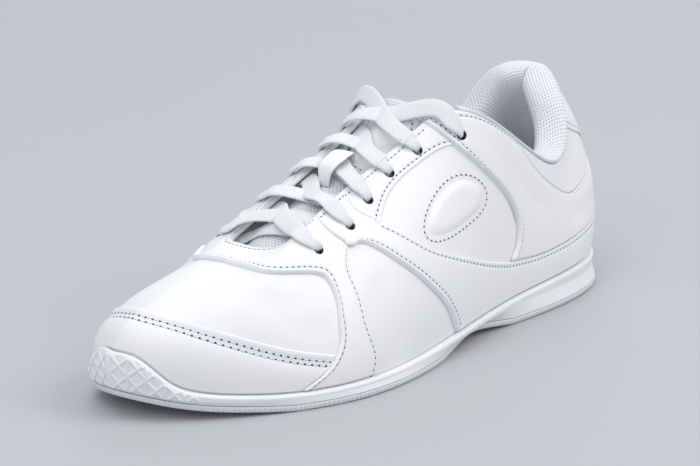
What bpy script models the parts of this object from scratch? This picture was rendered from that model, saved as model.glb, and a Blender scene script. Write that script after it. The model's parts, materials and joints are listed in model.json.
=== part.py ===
"""Low-cut cheerleading shoe for the left foot, built as separate pieces on one last.

The last is worked out from length, ball width and instep height. Its surface is a loft of
ribs: each rib is a Bezier curve that rises from the sole and ends on the topline, which is
the edge of the collar and of the lacing throat. Every piece is a region of that surface
with its own offset from it.

Frame: X runs from heel to toe, Y to the wearer's left, which is the outer side, Z up.
The floor is Z = 0.
"""

import bmesh
import bpy
import numpy as np

MM = 0.001

# Driving sizes, in millimetres
LENGTH = 264.0
BALL_WIDTH = 98.0
INSTEP_HEIGHT = 90.0
WALL = 1.8
GAP = 0.3
OVERLAY = 1.2
TAB = 0.8
LIP = 2.4
OUTSOLE = 2.6
INSOLE = 3.5

HALF_WIDTH = BALL_WIDTH / 2
ORIGIN_X = 130.2
ORIGIN_Y = -4.95

# The last is a loft of ribs from heel (key 0) to toe (key 1).
# The tables give the outer side, the inner side mirrors it.
# Lower ends of the ribs: foot_x is a share of LENGTH, foot_y of HALF_WIDTH.
# lean is how far the rib leans out at its foot in degrees.
# rise is the length of its Bezier handle in millimetres.
FOOT_COLUMNS = ("key", "foot_x", "foot_y", "lean", "rise")
FOOT = (
    (0.00, 0.015, 0.00, 13, 24),
    (0.12, 0.053, 0.47, 14, 22),
    (0.24, 0.159, 0.66, 12, 17),
    (0.36, 0.295, 0.69, 9, 20),
    (0.48, 0.432, 0.77, 7, 26),
    (0.60, 0.580, 0.90, 7, 24),
    (0.72, 0.727, 0.93, 8, 22),
    (0.84, 0.864, 0.69, 10, 26),
    (0.93, 0.947, 0.38, 11, 29),
    (1.00, 0.981, 0.00, 12, 30),
)

# Upper ends of the ribs, on the edge of the collar and the throat. top_z is a share of INSTEP_HEIGHT.
# fall is how steeply the rib falls outwards from its top in degrees, reach the length of its Bezier handle.
# inner_rise is how much higher the topline stands on the inner side in millimetres.
# inner_fall is how much more steeply the ribs fall there in degrees.
TOP_COLUMNS = ("key", "top_x", "top_y", "top_z", "reach", "fall", "inner_rise", "inner_fall")
TOP = (
    (0.00, 0.055, 0.000, 0.925, 32, 62, 0, 0),
    (0.06, 0.067, 0.180, 0.880, 31, 57, 4, 0),
    (0.12, 0.095, 0.380, 0.785, 29, 61, 7.5, 0),
    (0.18, 0.130, 0.510, 0.670, 20, 79, 5.5, 0),
    (0.24, 0.174, 0.580, 0.635, 15, 84, 0, 0),
    (0.30, 0.227, 0.600, 0.710, 17, 83, -4, 0),
    (0.36, 0.284, 0.590, 0.830, 20, 80, -4, 0),
    (0.42, 0.341, 0.550, 0.945, 24, 75, -2, 0),
    (0.48, 0.386, 0.460, 1.000, 26, 67, 0, 0),
    (0.54, 0.417, 0.330, 0.980, 28, 55, 0, 0),
    (0.60, 0.462, 0.257, 0.905, 28, 43, 2, 0),
    (0.72, 0.598, 0.230, 0.750, 26, 32, 1, 3),
    (0.84, 0.697, 0.320, 0.655, 26, 24, -6, 9),
    (0.93, 0.722, 0.230, 0.590, 33, 14, -2.2, 3.4),
    (1.00, 0.728, 0.000, 0.567, 36, 10, 0, 0),
)

# Heights of the sole along the shoe in millimetres. Below the floor it is cut off flat.
GROUND_COLUMNS = ("key", "ground")
GROUND = (
    (0, 2.0), (0.12, -0.6), (0.34, -1.0), (0.40, 1.2), (0.46, 3.0), (0.52, 1.2),
    (0.58, -1.0), (0.75, -1.0), (0.84, 1.4), (0.93, 5.0), (1, 8.0),
)
FOOTBED_COLUMNS = ("key", "footbed")
FOOTBED = (
    (0, 9.0), (0.24, 8.8), (0.42, 8.4), (0.60, 5.8),
    (0.72, 5.2), (0.84, 6.4), (0.93, 9.8), (1, 12.8),
)
EDGE_COLUMNS = ("key", "edge")
EDGE = (
    (0, 14.0), (0.12, 13.2), (0.24, 12.4), (0.36, 11.2), (0.48, 9.4), (0.60, 7.2), (0.72, 6.6), (0.80, 7.2),
    (0.86, 9.0), (0.905, 11.2), (0.93, 14.2), (0.955, 20.5), (0.975, 24.2), (1, 25.0),
)

# How far the sole's lower edge stands outside the upper's lower edge.
BASE_COLUMNS = ("key", "base")
BASE = ((0, 4.4), (0.2, 4.4), (0.37, 2.2), (0.46, -1.4), (0.55, 1.6), (0.64, 3.4), (0.84, 2.2), (1, 1.5))

# The tongue: its ridge in millimetres, half its width, how far its sides droop, its thickness,
# and how far it lies off the middle, to the outer side.
TONGUE_COLUMNS = ("x", "z", "half_width", "droop", "thickness", "shift")
TONGUE = (
    (206, 42.4, 13, 4.0, 2.4, 3.0),
    (196, 46.2, 15, 6.0, 2.6, 3.0),
    (185, 53.2, 18, 8.0, 3.0, 2.5),
    (170, 60.8, 19, 10.5, 3.5, 1.0),
    (155, 66.8, 18, 13.5, 4.0, 0.0),
    (140, 72.7, 18, 15.0, 4.5, 0.0),
    (127, 79.6, 17, 15.0, 5.0, 0.0),
    (118, 87.0, 15, 10.5, 5.5, 0.0),
    (113, 94.0, 15, 7.0, 4.5, 0.0),
)

# The padded collar: how thick it is, how far it stands over the topline, and how far out it laps over it.
PAD_COLUMNS = ("key", "thick", "over", "out")
PAD = (
    (0, 10, 8.5, 1.4),
    (0.1, 11, 10.0, 1.4),
    (0.2, 10, 5.5, 0.9),
    (0.3, 7, 3.2, 0.0),
    (0.4, 4, 2.8, -0.2),
    (0.48, 2, 2.2, -0.6),
)
PAD_CLEAR = 0.5

# Eyelets on the outer side from the toe up, as (tau, v).
EYELETS = ((0.772, 0.754), (0.711, 0.782), (0.675, 0.845), (0.635, 0.895), (0.579, 0.897), (0.480, 0.883))
EYELET_RADIUS = 2.0
LACE_WIDTH = 7.0
LACE_THICKNESS = 1.2
LACE_LIFT = 0.7
CROSSING_LIFT = 0.35
OUTER_LEADS = (0.034, 0.022, 0.011, 0.010, 0.013)
INNER_LEADS = (0.012, 0.020, 0.012, 0.010, 0.013)
INNER_ENDS = (0.022, 0.022, 0.024, 0.012, 0.0)
LACE_BOWS = (2.0, 3.0, 0.6, 2.0, 2.0)
LACE_RISES = (1.9, 0.3, 0.3, 1.3, 0.3)
BAR_BOW = 0.5
BAR_DEPTH = 1.6
BAR_TUCK = 0.2
BAR_SKEW = 0.015

# The lace keeper on the tongue: place along the shoe, height over the tongue and width.
KEEPER_COLUMNS = ("x", "over", "width")
KEEPER = (
    (154.1, 0.4, 5.0),
    (154.0, 3.4, 5.4),
    (152.8, 6.8, 7.6),
    (148.0, 7.6, 9.0),
    (143.0, 7.0, 9.0),
    (140.3, 5.0, 6.0),
    (139.3, 2.6, 4.6),
    (139.2, 0.4, 4.4),
)
KEEPER_THICKNESS = 1.0

# Flex grooves across the forefoot: places along the shoe.
GROOVES = (150, 165, 180, 195, 210)
GROOVE_WIDTH = 2.5
GROOVE_DEPTH = 1.3

# The forefoot swings to the inner side: where along LENGTH it starts, and how far the toe goes.
SWING_START = 0.34
SWING_TOE = -19.0

# Ribs with a shorter plan than this fall along the outline's normal instead of along their own plan.
SHORT_RIB = 20.0


def spline(keys, values, at):
    """Natural cubic spline through (keys, values), read at the given places."""
    keys, values, at = (np.asarray(a, float) for a in (keys, values, at))
    steps = np.diff(keys)
    slopes = np.diff(values) / steps
    system = np.eye(len(keys))
    right = np.zeros(len(keys))
    for i in range(1, len(keys) - 1):
        system[i, i - 1 : i + 2] = steps[i - 1], 2 * (steps[i - 1] + steps[i]), steps[i]
        right[i] = 6 * (slopes[i] - slopes[i - 1])
    bend = np.linalg.solve(system, right)
    i = np.clip(np.searchsorted(keys, at) - 1, 0, len(steps) - 1)
    a = at - keys[i]
    b = keys[i + 1] - at
    h = steps[i]
    curve = (bend[i] * b**3 + bend[i + 1] * a**3) / (6 * h)
    return curve + (values[i] / h - bend[i] * h / 6) * b + (values[i + 1] / h - bend[i + 1] * h / 6) * a


def around(columns, table, name, tau):
    """A column of a half table read round the whole shoe.

    tau 0 is the heel, 1 the toe, and a negative tau is the inner side.
    """
    rows = np.array(table, float)
    keys, values = rows[:, 0], rows[:, columns.index(name)]
    sign = -1 if name.endswith("_y") else 1
    keys = np.concatenate([-keys[:0:-1], keys, 2 - keys[-2::-1]])
    values = np.concatenate([sign * values[:0:-1], values, sign * values[-2::-1]])
    return spline(keys, values, (np.asarray(tau, float) + 1) % 2 - 1)


def rib(name, tau):
    if name in FOOT_COLUMNS:
        return around(FOOT_COLUMNS, FOOT, name, tau)
    return around(TOP_COLUMNS, TOP, name, tau)


def ground(tau):
    return np.maximum(around(GROUND_COLUMNS, GROUND, "ground", tau), 0)


def footbed(tau):
    return around(FOOTBED_COLUMNS, FOOTBED, "footbed", tau)


def edge_height(tau):
    return around(EDGE_COLUMNS, EDGE, "edge", tau)


def swing(x):
    """The last's curve to the inner side, towards the toe."""
    forward = np.clip((x / LENGTH - SWING_START) / (1 - SWING_START), 0, None)
    return SWING_TOE * forward**2


def foot_outline(tau):
    """Plan of the upper's lower edge, before the swing, and its outward normal."""
    step = 1e-4
    outline = np.stack([rib("foot_x", tau) * LENGTH, rib("foot_y", tau) * HALF_WIDTH], -1)
    ahead = np.stack([rib("foot_x", tau + step) * LENGTH, rib("foot_y", tau + step) * HALF_WIDTH], -1)
    tangent = (ahead - outline) / step
    normal = np.stack([-tangent[..., 1], tangent[..., 0]], -1)
    return outline, normal / np.linalg.norm(normal, axis=-1, keepdims=True)


def last(tau, v):
    """Outer face of the upper: tau round the shoe, v from the footbed (0) to the topline (1)."""
    tau, v = np.broadcast_arrays(np.asarray(tau, float), np.asarray(v, float))
    inner = (tau + 1) % 2 < 1
    outline, normal = foot_outline(tau)
    foot = np.concatenate([outline, footbed(tau)[..., None]], -1)
    top = np.stack(
        [
            rib("top_x", tau) * LENGTH,
            rib("top_y", tau) * HALF_WIDTH,
            rib("top_z", tau) * INSTEP_HEIGHT + np.where(inner, rib("inner_rise", tau), 0),
        ],
        -1,
    )
    lean = np.radians(rib("lean", tau))
    fall = np.radians(rib("fall", tau) + np.where(inner, rib("inner_fall", tau), 0))
    away = foot[..., :2] - top[..., :2]
    length = np.linalg.norm(away, axis=-1, keepdims=True)
    share = np.clip(length / SHORT_RIB, 0, 1)
    away = away / np.maximum(length, 1e-6) * share + normal * (1 - share)
    away = away / np.linalg.norm(away, axis=-1, keepdims=True)
    up = np.concatenate([normal * np.sin(lean)[..., None], np.cos(lean)[..., None]], -1)
    down = np.concatenate([away * np.cos(fall)[..., None], -np.sin(fall)[..., None]], -1)
    handle = foot + up * rib("rise", tau)[..., None]
    shoulder = top + down * rib("reach", tau)[..., None]
    v = v[..., None]
    w = 1 - v
    points = w**3 * foot + 3 * w**2 * v * handle + 3 * w * v**2 * shoulder + v**3 * top
    points[..., 1] += swing(points[..., 0])
    return points


def last_normal(tau, v):
    """Outward normal of the last."""
    step = 1e-4
    across = last(tau + step, v) - last(tau - step, v)
    upwards = last(tau, v + step) - last(tau, v - step)
    normal = np.cross(upwards, across)
    return normal / np.linalg.norm(normal, axis=-1, keepdims=True)


# The shared grid: every piece of the upper uses these facets, so that offset pieces keep an even gap.
# Its lines round half the shoe are listed as (from, to, steps).
GRID_SPANS = ((0, 0.2, 7), (0.2, 0.42, 6), (0.42, 0.6, 6), (0.6, 0.84, 7), (0.84, 1, 8))
ROWS = np.array((0, 0.1, 0.24, 0.39, 0.54, 0.7, 0.86, 1))
SPANS = [np.linspace(start, stop, steps, endpoint=False) for start, stop, steps in GRID_SPANS]
HALF_TAUS = np.concatenate(SPANS + [[1]])
TAUS = np.concatenate([-HALF_TAUS[:0:-1], HALF_TAUS[:-1]])
NODES = last(TAUS[:, None], ROWS[None, :])
NORMALS = last_normal(TAUS[:, None], ROWS[None, :])


def facet(tau, v, offset):
    """A point on the shared facets, moved outwards by offset."""
    tau, v, offset = np.broadcast_arrays(*(np.asarray(a, float) for a in (tau, v, offset)))
    tau = (tau + 1) % 2 - 1
    ends = np.append(TAUS, 1)
    i = np.clip(np.searchsorted(ends, tau, side="right") - 1, 0, len(TAUS) - 1)
    j = np.clip(np.searchsorted(ROWS, v, side="right") - 1, 0, len(ROWS) - 2)
    a = ((tau - ends[i]) / (ends[i + 1] - ends[i]))[..., None]
    b = ((v - ROWS[j]) / (ROWS[j + 1] - ROWS[j]))[..., None]
    following = (i + 1) % len(TAUS)

    def corner(m, n):
        return NODES[m, n] + NORMALS[m, n] * offset[..., None]

    low = corner(i, j) * (1 - a) + corner(following, j) * a
    high = corner(i, j + 1) * (1 - a) + corner(following, j + 1) * a
    return low * (1 - b) + high * b


def sole_v(tau, clearance=0.0):
    """Where the sole's edge crosses each rib."""
    steps = np.linspace(0, 0.5, 201)
    tau = np.atleast_1d(np.asarray(tau, float))
    heights = last(tau[:, None], steps[None, :])[..., 2]
    wanted = edge_height(tau) + clearance
    return np.array([np.interp(w, h, steps) for w, h in zip(wanted, heights)])


# Outlines of the panels, as (tau, v) points on the outer side. A v of 0 means the sole's edge.
TOE_EDGE = ((0.740, 0.198), (0.812, 0.274), (0.867, 0.342), (0.913, 0.392), (0.957, 0.425), (1.0, 0.435))
SADDLE_FOOT = ((0.783, 0), (0.768, 0.072), (0.752, 0.122), (0.740, 0.198))
SADDLE_RISE = (
    (0.740, 0.198), (0.736, 0.260), (0.737, 0.335), (0.739, 0.438), (0.747, 0.527), (0.758, 0.590),
    (0.782, 0.637), (0.827, 0.684), (0.890, 0.757), (0.950, 0.830), (1.0, 0.858),
)
INNER_RISE = (
    (0.740, 0.198), (0.736, 0.260), (0.737, 0.335), (0.739, 0.438), (0.747, 0.527), (0.760, 0.600),
    (0.788, 0.670), (0.835, 0.745), (0.890, 0.815), (0.950, 0.850), (1.0, 0.858),
)
SADDLE_BACK = (
    (0.680, 0), (0.676, 0.118), (0.685, 0.230), (0.696, 0.350),
    (0.705, 0.475), (0.715, 0.562), (0.720, 0.630), (0.716, 0.703),
)
SADDLE_HEAD = ((0.716, 0.703), (0.746, 0.813), (0.785, 1.0))
BAND_LOW = (
    (0.716, 0.703), (0.694, 0.672), (0.667, 0.598), (0.640, 0.512),
    (0.608, 0.415), (0.573, 0.302), (0.537, 0.165), (0.515, 0),
)
BAND_HEAD = ((0.722, 1.0), (0.711, 0.955), (0.703, 0.880), (0.690, 0.812), (0.658, 0.705))
BAND_MID = ((0.658, 0.705), (0.613, 0.575), (0.566, 0.460), (0.514, 0.378), (0.439, 0.297), (0.382, 0.266))
BAND_HEEL = ((0.382, 0.266), (0.320, 0.275), (0.259, 0.310), (0.191, 0.330), (0.120, 0.325), (0.0, 0.310))
EYESTAY_ARC = (
    (0.658, 0.705), (0.641, 0.795), (0.617, 0.830), (0.579, 0.835), (0.538, 0.838), (0.496, 0.840),
)
QUARTER_HEAD = ((0.560, 1.0), (0.525, 0.907), (0.496, 0.840))
QUARTER_FRONT = (
    (0.496, 0.840), (0.448, 0.743), (0.414, 0.680), (0.386, 0.613),
    (0.368, 0.527), (0.364, 0.455), (0.370, 0.348), (0.382, 0.266),
)
CUFF_LINE = (
    (0.350, 1.0), (0.324, 0.920), (0.272, 0.835), (0.230, 0.745), (0.207, 0.695),
    (0.182, 0.672), (0.140, 0.662), (0.100, 0.672), (0.050, 0.692), (0.0, 0.700),
)
HEEL_TAB = (
    (0.140, 1.0), (0.118, 0.900), (0.094, 0.805), (0.074, 0.720),
    (0.058, 0.620), (0.046, 0.500), (0.036, 0.400),
)

# Scale of tau and v in millimetres, used to space and to inset the outlines.
TAU_SCALE = 300.0
V_SCALE = 75.0

# How far the panels end above the sole's edge.
ABOVE_SOLE = GAP + 0.4


def smooth(points, spacing=8.0):
    """An outline edge as a spline through its points, read about every spacing millimetres."""
    points = np.array(points, float)
    at_sole = points[:, 1] == 0
    points[at_sole, 1] = sole_v(points[at_sole, 0], ABOVE_SOLE)
    steps = np.linalg.norm(np.diff(points, axis=0) * (TAU_SCALE, V_SCALE), axis=1)
    places = np.concatenate([[0], np.cumsum(steps)])
    count = max(2, int(np.ceil(places[-1] / spacing)) + 1)
    at = np.linspace(0, places[-1], count)
    return np.stack([spline(places, points[:, c], at) for c in (0, 1)], -1)


def sole_line(start, stop):
    """The sole's edge between two places, read on the grid lines."""
    lines = np.concatenate([TAUS, TAUS + 2])
    inner = lines[(lines > min(start, stop) + 0.01) & (lines < max(start, stop) - 0.01)]
    tau = np.concatenate([[start], inner if stop > start else inner[::-1], [stop]])
    return np.stack([tau, sole_v(tau, ABOVE_SOLE)], -1)


def topline(start, stop):
    return np.array([(start, 1.0), (stop, 1.0)])


def mirrored(edge, about):
    """The edge's mirror image on the inner side, in the opposite order."""
    edge = edge[::-1].copy()
    edge[:, 0] = 2 * about - edge[:, 0]
    return edge


def loop(*edges):
    """Join edges end to end into one outline and drop repeated corners."""
    points = np.concatenate(edges)
    following = np.roll(points, -1, axis=0)
    keep = np.linalg.norm((following - points) * (TAU_SCALE, V_SCALE), axis=1) > 0.6
    return points[keep]


def inset(outline, distance):
    """Move a closed outline inwards, so that neighbouring panels do not touch."""
    flat = outline * (TAU_SCALE, V_SCALE)
    before = flat - np.roll(flat, 1, axis=0)
    after = np.roll(flat, -1, axis=0) - flat
    turn = np.sum(flat[:, 0] * np.roll(flat[:, 1], -1) - np.roll(flat[:, 0], -1) * flat[:, 1])
    middle = np.zeros(flat.shape)
    for edge in (before, after):
        middle += np.stack([-edge[:, 1], edge[:, 0]], -1) / np.linalg.norm(edge, axis=1, keepdims=True)
    middle /= np.maximum(np.sum(middle**2, axis=1, keepdims=True) / 2, 0.5)
    return (flat + np.sign(turn) * distance * middle) / (TAU_SCALE, V_SCALE)


def clip(outline, axis, limit, keep_above):
    """Sutherland-Hodgman cut of an outline by one grid line."""
    kept = []
    for here, following in zip(outline, np.roll(outline, -1, axis=0)):
        inside = here[axis] >= limit if keep_above else here[axis] <= limit
        inside_next = following[axis] >= limit if keep_above else following[axis] <= limit
        if inside:
            kept.append(here)
        if inside != inside_next:
            share = (limit - here[axis]) / (following[axis] - here[axis])
            crossing = here + share * (following - here)
            crossing[axis] = limit
            kept.append(crossing)
    return np.array(kept).reshape(-1, 2)


def without_spikes(spots):
    """Drop the points of a clipped outline that only run along a grid line and back."""
    spots = list(spots)
    i = 0
    while len(spots) > 2 and i < len(spots):
        (ax, ay), (bx, by), (cx, cy) = spots[i - 1], spots[i], spots[(i + 1) % len(spots)]
        back, ahead = (ax - bx, ay - by), (cx - bx, cy - by)
        flat = back[0] * ahead[1] == back[1] * ahead[0]
        if flat and back[0] * ahead[0] + back[1] * ahead[1] >= 0:
            del spots[i]
            i = max(i - 2, 0)
        else:
            i += 1
    return spots


def cut_panel(outline, low, high):
    """The part of the shared facets inside an outline, as a closed sheet between two offsets."""
    outline = inset(outline, GAP * 0.7)
    outline[:, 1] = np.clip(outline[:, 1], 0, 1)
    lines = np.concatenate([TAUS - 2, TAUS, TAUS + 2])
    places, faces = {}, []
    for left, right in zip(lines, np.append(lines[1:], 3)):
        if right <= outline[:, 0].min() or left >= outline[:, 0].max():
            continue
        column = clip(clip(outline, 0, left, True), 0, right, False)
        for bottom, top in zip(ROWS, ROWS[1:]):
            piece = column
            for limit, keep_above in ((bottom, True), (top, False)):
                if len(piece) > 2:
                    piece = clip(piece, 1, limit, keep_above)
            keys = without_spikes((round(tau * 1e5), round(v * 1e5)) for tau, v in piece)
            if len(keys) > 2:
                faces.append([places.setdefault(key, len(places)) for key in keys])
    spots = np.array(list(places), float) / 1e5
    count = len(spots)
    edges = {(a, b) for face in faces for a, b in zip(face, face[1:] + face[:1])}
    walls = [(b, a, a + count, b + count) for a, b in edges if (b, a) not in edges]
    under = [[i + count for i in reversed(face)] for face in faces]
    points = np.concatenate([facet(spots[:, 0], spots[:, 1], high), facet(spots[:, 0], spots[:, 1], low)])
    return points, faces + under + walls


def loft(rings, ends):
    """Faces of a solid through a stack of closed rings.

    ends is 'joined' (last ring to first), 'paired' (flat strips across) or 'capped' (one face).
    """
    rings = np.asarray(rings, float)
    stack, count = rings.shape[:2]
    faces = []
    for r in range(stack if ends == "joined" else stack - 1):
        a, b = r * count, (r + 1) % stack * count
        for i in range(count):
            n = (i + 1) % count
            faces.append((a + i, a + n, b + n, b + i))
    if ends == "capped":
        faces += [tuple(range(count)), tuple((stack - 1) * count + i for i in range(count))]
    if ends == "paired":
        for a in (0, (stack - 1) * count):
            for i in range(count // 2):
                faces.append((a + i, a + i + 1, a + (count - i - 1) % count, a + (count - i) % count))
    return rings.reshape(-1, 3), faces


def make(name, shape, colour, roughness, cutter=False):
    """Add one closed piece, in metres about the origin, with its own material."""
    points, faces = shape
    points = (points - (ORIGIN_X, ORIGIN_Y, 0)) * MM
    mesh = bpy.data.meshes.new(name)
    mesh.from_pydata(points.tolist(), [], [list(dict.fromkeys(f)) for f in faces if len(set(f)) > 2])
    cleaner = bmesh.new()
    cleaner.from_mesh(mesh)
    bmesh.ops.remove_doubles(cleaner, verts=cleaner.verts, dist=1e-7)
    bmesh.ops.triangulate(cleaner, faces=cleaner.faces)
    bmesh.ops.recalc_face_normals(cleaner, faces=cleaner.faces)
    cleaner.to_mesh(mesh)
    cleaner.free()
    piece = bpy.data.objects.new(name, mesh)
    bpy.context.scene.collection.objects.link(piece)
    if cutter:
        piece.hide_render = True
        piece.display_type = "WIRE"
        return piece
    material = bpy.data.materials.new(name)
    material.use_nodes = True
    shader = material.node_tree.nodes["Principled BSDF"]
    shader.inputs["Base Color"].default_value = (*colour, 1)
    shader.inputs["Roughness"].default_value = roughness
    mesh.materials.append(material)
    return piece


def combine(piece, other, operation):
    modifier = piece.modifiers.new(operation.title(), "BOOLEAN")
    modifier.operation = operation
    modifier.solver = "EXACT"
    modifier.object = other


def eyelet_pins(sides=6, length=8.0):
    """A pin through every eyelet, square to the upper."""
    turns = 2 * np.pi * np.arange(sides) / sides
    points, faces = [], []
    for side in (1, -1):
        for tau, v in EYELETS:
            normal = last_normal(side * tau, v)
            across = np.cross(normal, (0, 1, 0))
            across /= np.linalg.norm(across)
            circle = np.cos(turns)[:, None] * across + np.sin(turns)[:, None] * np.cross(normal, across)
            centre = facet(side * tau, v, 0)
            rings = [centre + EYELET_RADIUS * circle + normal * end * length / 2 for end in (-1, 1)]
            pin, pin_faces = loft(rings, "capped")
            faces += [[i + len(points) * 2 * sides for i in face] for face in pin_faces]
            points.append(pin)
    return np.concatenate(points), faces


def offset_plan(distance, heights, tau=TAUS):
    """The foot outline moved outwards, at the given heights."""
    outline, normal = foot_outline(tau)
    plan = outline + normal * np.broadcast_to(distance, tau.shape)[:, None]
    plan[:, 1] += swing(plan[:, 0])
    return np.concatenate([plan, np.broadcast_to(heights, tau.shape)[:, None]], -1)


def tongue_ridge(x):
    """Height of the tongue's ridge above a place along the shoe."""
    rows = np.array(TONGUE, float)[::-1]
    return spline(rows[:, 0], rows[:, 1], x)


def tongue_rings(stations=14, columns=9):
    """Sections of the tongue: a drooping top side and the same line below it."""
    rows = np.array(TONGUE, float)
    places = np.concatenate([[0], np.cumsum(np.hypot(*np.diff(rows[:, :2], axis=0).T))])
    at = np.linspace(0, places[-1], stations)
    columns_at = (spline(places, column, at)[:, None] for column in rows.T)
    x, z, half, droop, thickness, shift = columns_at
    along_x, along_z = np.gradient(x[:, 0])[:, None], np.gradient(z[:, 0])[:, None]
    size = np.hypot(along_x, along_z)
    up_x, up_z = along_z / size, -along_x / size
    u = np.linspace(-1, 1, columns)[None, :]
    drop = droop * (1 - np.cos(u * np.pi / 2))
    depth = thickness * (0.35 + 0.65 * np.cos(u * np.pi / 2))
    y = u * half + swing(x) + shift
    top = np.stack([x - up_x * drop, y, z - up_z * drop], -1)
    under = np.stack([x - up_x * (drop + depth), y, z - up_z * (drop + depth)], -1)
    return np.concatenate([top, under[:, ::-1]], 1)


def collar_rings():
    """Sections of the padded collar: up the inside of the wall, out over the topline and down inside."""
    tau = TAUS[np.abs(TAUS) <= PAD[-1][0]]
    thick, over, out = (around(PAD_COLUMNS, PAD, name, tau) for name in PAD_COLUMNS[1:])
    back = -(WALL + GAP)
    upwards = last(tau, 1.0) - last(tau, 0.98)
    upwards /= np.linalg.norm(upwards, axis=-1, keepdims=True)

    def over_top(rise, offset):
        return facet(tau, 1.0, offset) + upwards * np.broadcast_to(rise, tau.shape)[:, None]

    ring = [facet(tau, v, back) for v in ROWS[-4:-1]]
    ring += [
        over_top(GAP, back),
        over_top(PAD_CLEAR, out),
        over_top(PAD_CLEAR + 0.55 * (over - PAD_CLEAR), out + 0.2),
        over_top(over, back - 0.3 * thick),
        over_top(0.65 * over, back - 0.85 * thick),
        facet(tau, ROWS[-2], back - thick),
        facet(tau, ROWS[-3], back - 0.8 * thick),
        facet(tau, ROWS[-4], back - 0.15 * thick - 0.8),
    ]
    return np.stack(ring, 1)


def throat_crossing(here, there, side):
    """Where on one side's topline the straight line between two plan points crosses it."""
    tau = side * np.linspace(0.5, 0.97, 400)
    edge = last(tau, 1.0)
    offset = edge[:, :2] - here[:2]
    way = there[:2] - here[:2]
    turn = offset[:, 0] * way[1] - offset[:, 1] * way[0]
    return tau[np.argmin(np.abs(turn))]


def ribbon(points, normals, width, thickness, sections=10):
    """A flat lace along a spline through the points, as closed sections."""
    points, normals = np.array(points, float), np.array(normals, float)
    places = np.concatenate([[0], np.cumsum(np.linalg.norm(np.diff(points, axis=0), axis=1))])
    at = np.linspace(0, places[-1], sections)
    path = np.stack([spline(places, points[:, c], at) for c in range(3)], -1)
    up = np.stack([np.interp(at, places, normals[:, c]) for c in range(3)], -1)
    along = np.gradient(path, axis=0)
    sideways = np.cross(along, up)
    sideways /= np.linalg.norm(sideways, axis=1, keepdims=True)
    up = np.cross(sideways, along)
    up /= np.linalg.norm(up, axis=1, keepdims=True)
    widths = np.interp(at, places, np.broadcast_to(width, len(points)))
    a, b = sideways * widths[:, None] / 2, up * thickness / 2
    return np.stack([path - a - b, path + a - b, path + a + b, path - a + b], 1)


OVER = GAP * 2 + 0.3 + OVERLAY + LACE_THICKNESS / 2
BENEATH = -(WALL + GAP + 0.3 + LACE_THICKNESS / 2)


def ridge_normal(x):
    slope = tongue_ridge(x + 1) - tongue_ridge(x - 1)
    normal = np.array((-slope / 2, 0, 1))
    return normal / np.linalg.norm(normal)


def strand(level, side, lift):
    """One lace strand from its eyelet across the throat to the next eyelet on the other side."""
    tau, v = EYELETS[level]
    next_tau, next_v = EYELETS[level + 1]
    final = level == len(EYELETS) - 2
    start = facet(side * tau, v, OVER)
    goal = facet(-side * next_tau, next_v, OVER)
    leads = OUTER_LEADS if side > 0 else INNER_LEADS
    own = throat_crossing(start, goal, side) + side * leads[level]
    other = throat_crossing(goal, start, -side)
    depth = OVER + LACE_LIFT if final else BENEATH
    tuck = 1.0 if final else 0.4
    half_tau, half_v = (side * tau + own) / 2, (v + 1) / 2
    near = facet(own, 1.0, OVER + LACE_LIFT)
    middle = (near + facet(other, 1.0, depth)) / 2
    middle[0] += LACE_BOWS[level]
    clear = tongue_ridge(middle[0]) + GAP + LACE_THICKNESS + lift + LACE_RISES[level]
    middle[2] = max(clear, middle[2]) if final else clear
    other += 0 if side > 0 else INNER_ENDS[level]
    far = facet(other, 1.0, depth)
    end_tau, end_v = other + tuck * (-side * next_tau - other), 1 + tuck * (next_v - 1)
    rise = facet(half_tau, half_v, OVER + LACE_LIFT / 2)
    points = [start, rise, near, middle, far, facet(end_tau, end_v, depth)]
    normals = [
        last_normal(side * tau, v),
        last_normal(half_tau, half_v),
        last_normal(own, 1.0),
        ridge_normal(middle[0]),
        last_normal(other, 1.0),
        last_normal(end_tau, end_v),
    ]
    return ribbon(points, normals, LACE_WIDTH, LACE_THICKNESS)


def lace_bar():
    """The first pass of the lace, bowed across under the front eyelets."""
    tau, v = EYELETS[0]
    edge = throat_crossing(facet(tau, v, 0), facet(-tau, v, 0), 1)
    tuck_tau, tuck_v = edge + BAR_TUCK * (tau - edge), 1 + BAR_TUCK * (v - 1)
    inner_tau = BAR_SKEW - tuck_tau
    ends = [facet(end, tuck_v, BENEATH - BAR_DEPTH) for end in (tuck_tau, inner_tau)]
    middle = (ends[0] + ends[1]) / 2
    middle[0] += BAR_BOW
    middle[2] = tongue_ridge(middle[0]) + GAP + LACE_THICKNESS
    normals = [last_normal(tuck_tau, tuck_v), ridge_normal(middle[0]), last_normal(inner_tau, tuck_v)]
    return ribbon([ends[0], middle, ends[1]], normals, LACE_WIDTH, LACE_THICKNESS)


# Build
for old in list(bpy.data.objects):
    bpy.data.objects.remove(old)

LEATHER, LEATHER_ROUGH = (0.86, 0.87, 0.90), 0.42
RUBBER, RUBBER_ROUGH = (0.88, 0.89, 0.91), 0.58
FABRIC, FABRIC_ROUGH = (0.84, 0.85, 0.89), 0.8

# Upper: one wall, open along the topline and underneath
outside = [facet(TAUS, v, 0) for v in ROWS]
lining = [facet(TAUS, v, -WALL) for v in ROWS[::-1]]
upper = make("upper", loft(outside + lining, "joined"), LEATHER, LEATHER_ROUGH)
holes = make("eyelet_holes", eyelet_pins(), LEATHER, LEATHER_ROUGH, cutter=True)
combine(upper, holes, "DIFFERENCE")

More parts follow.
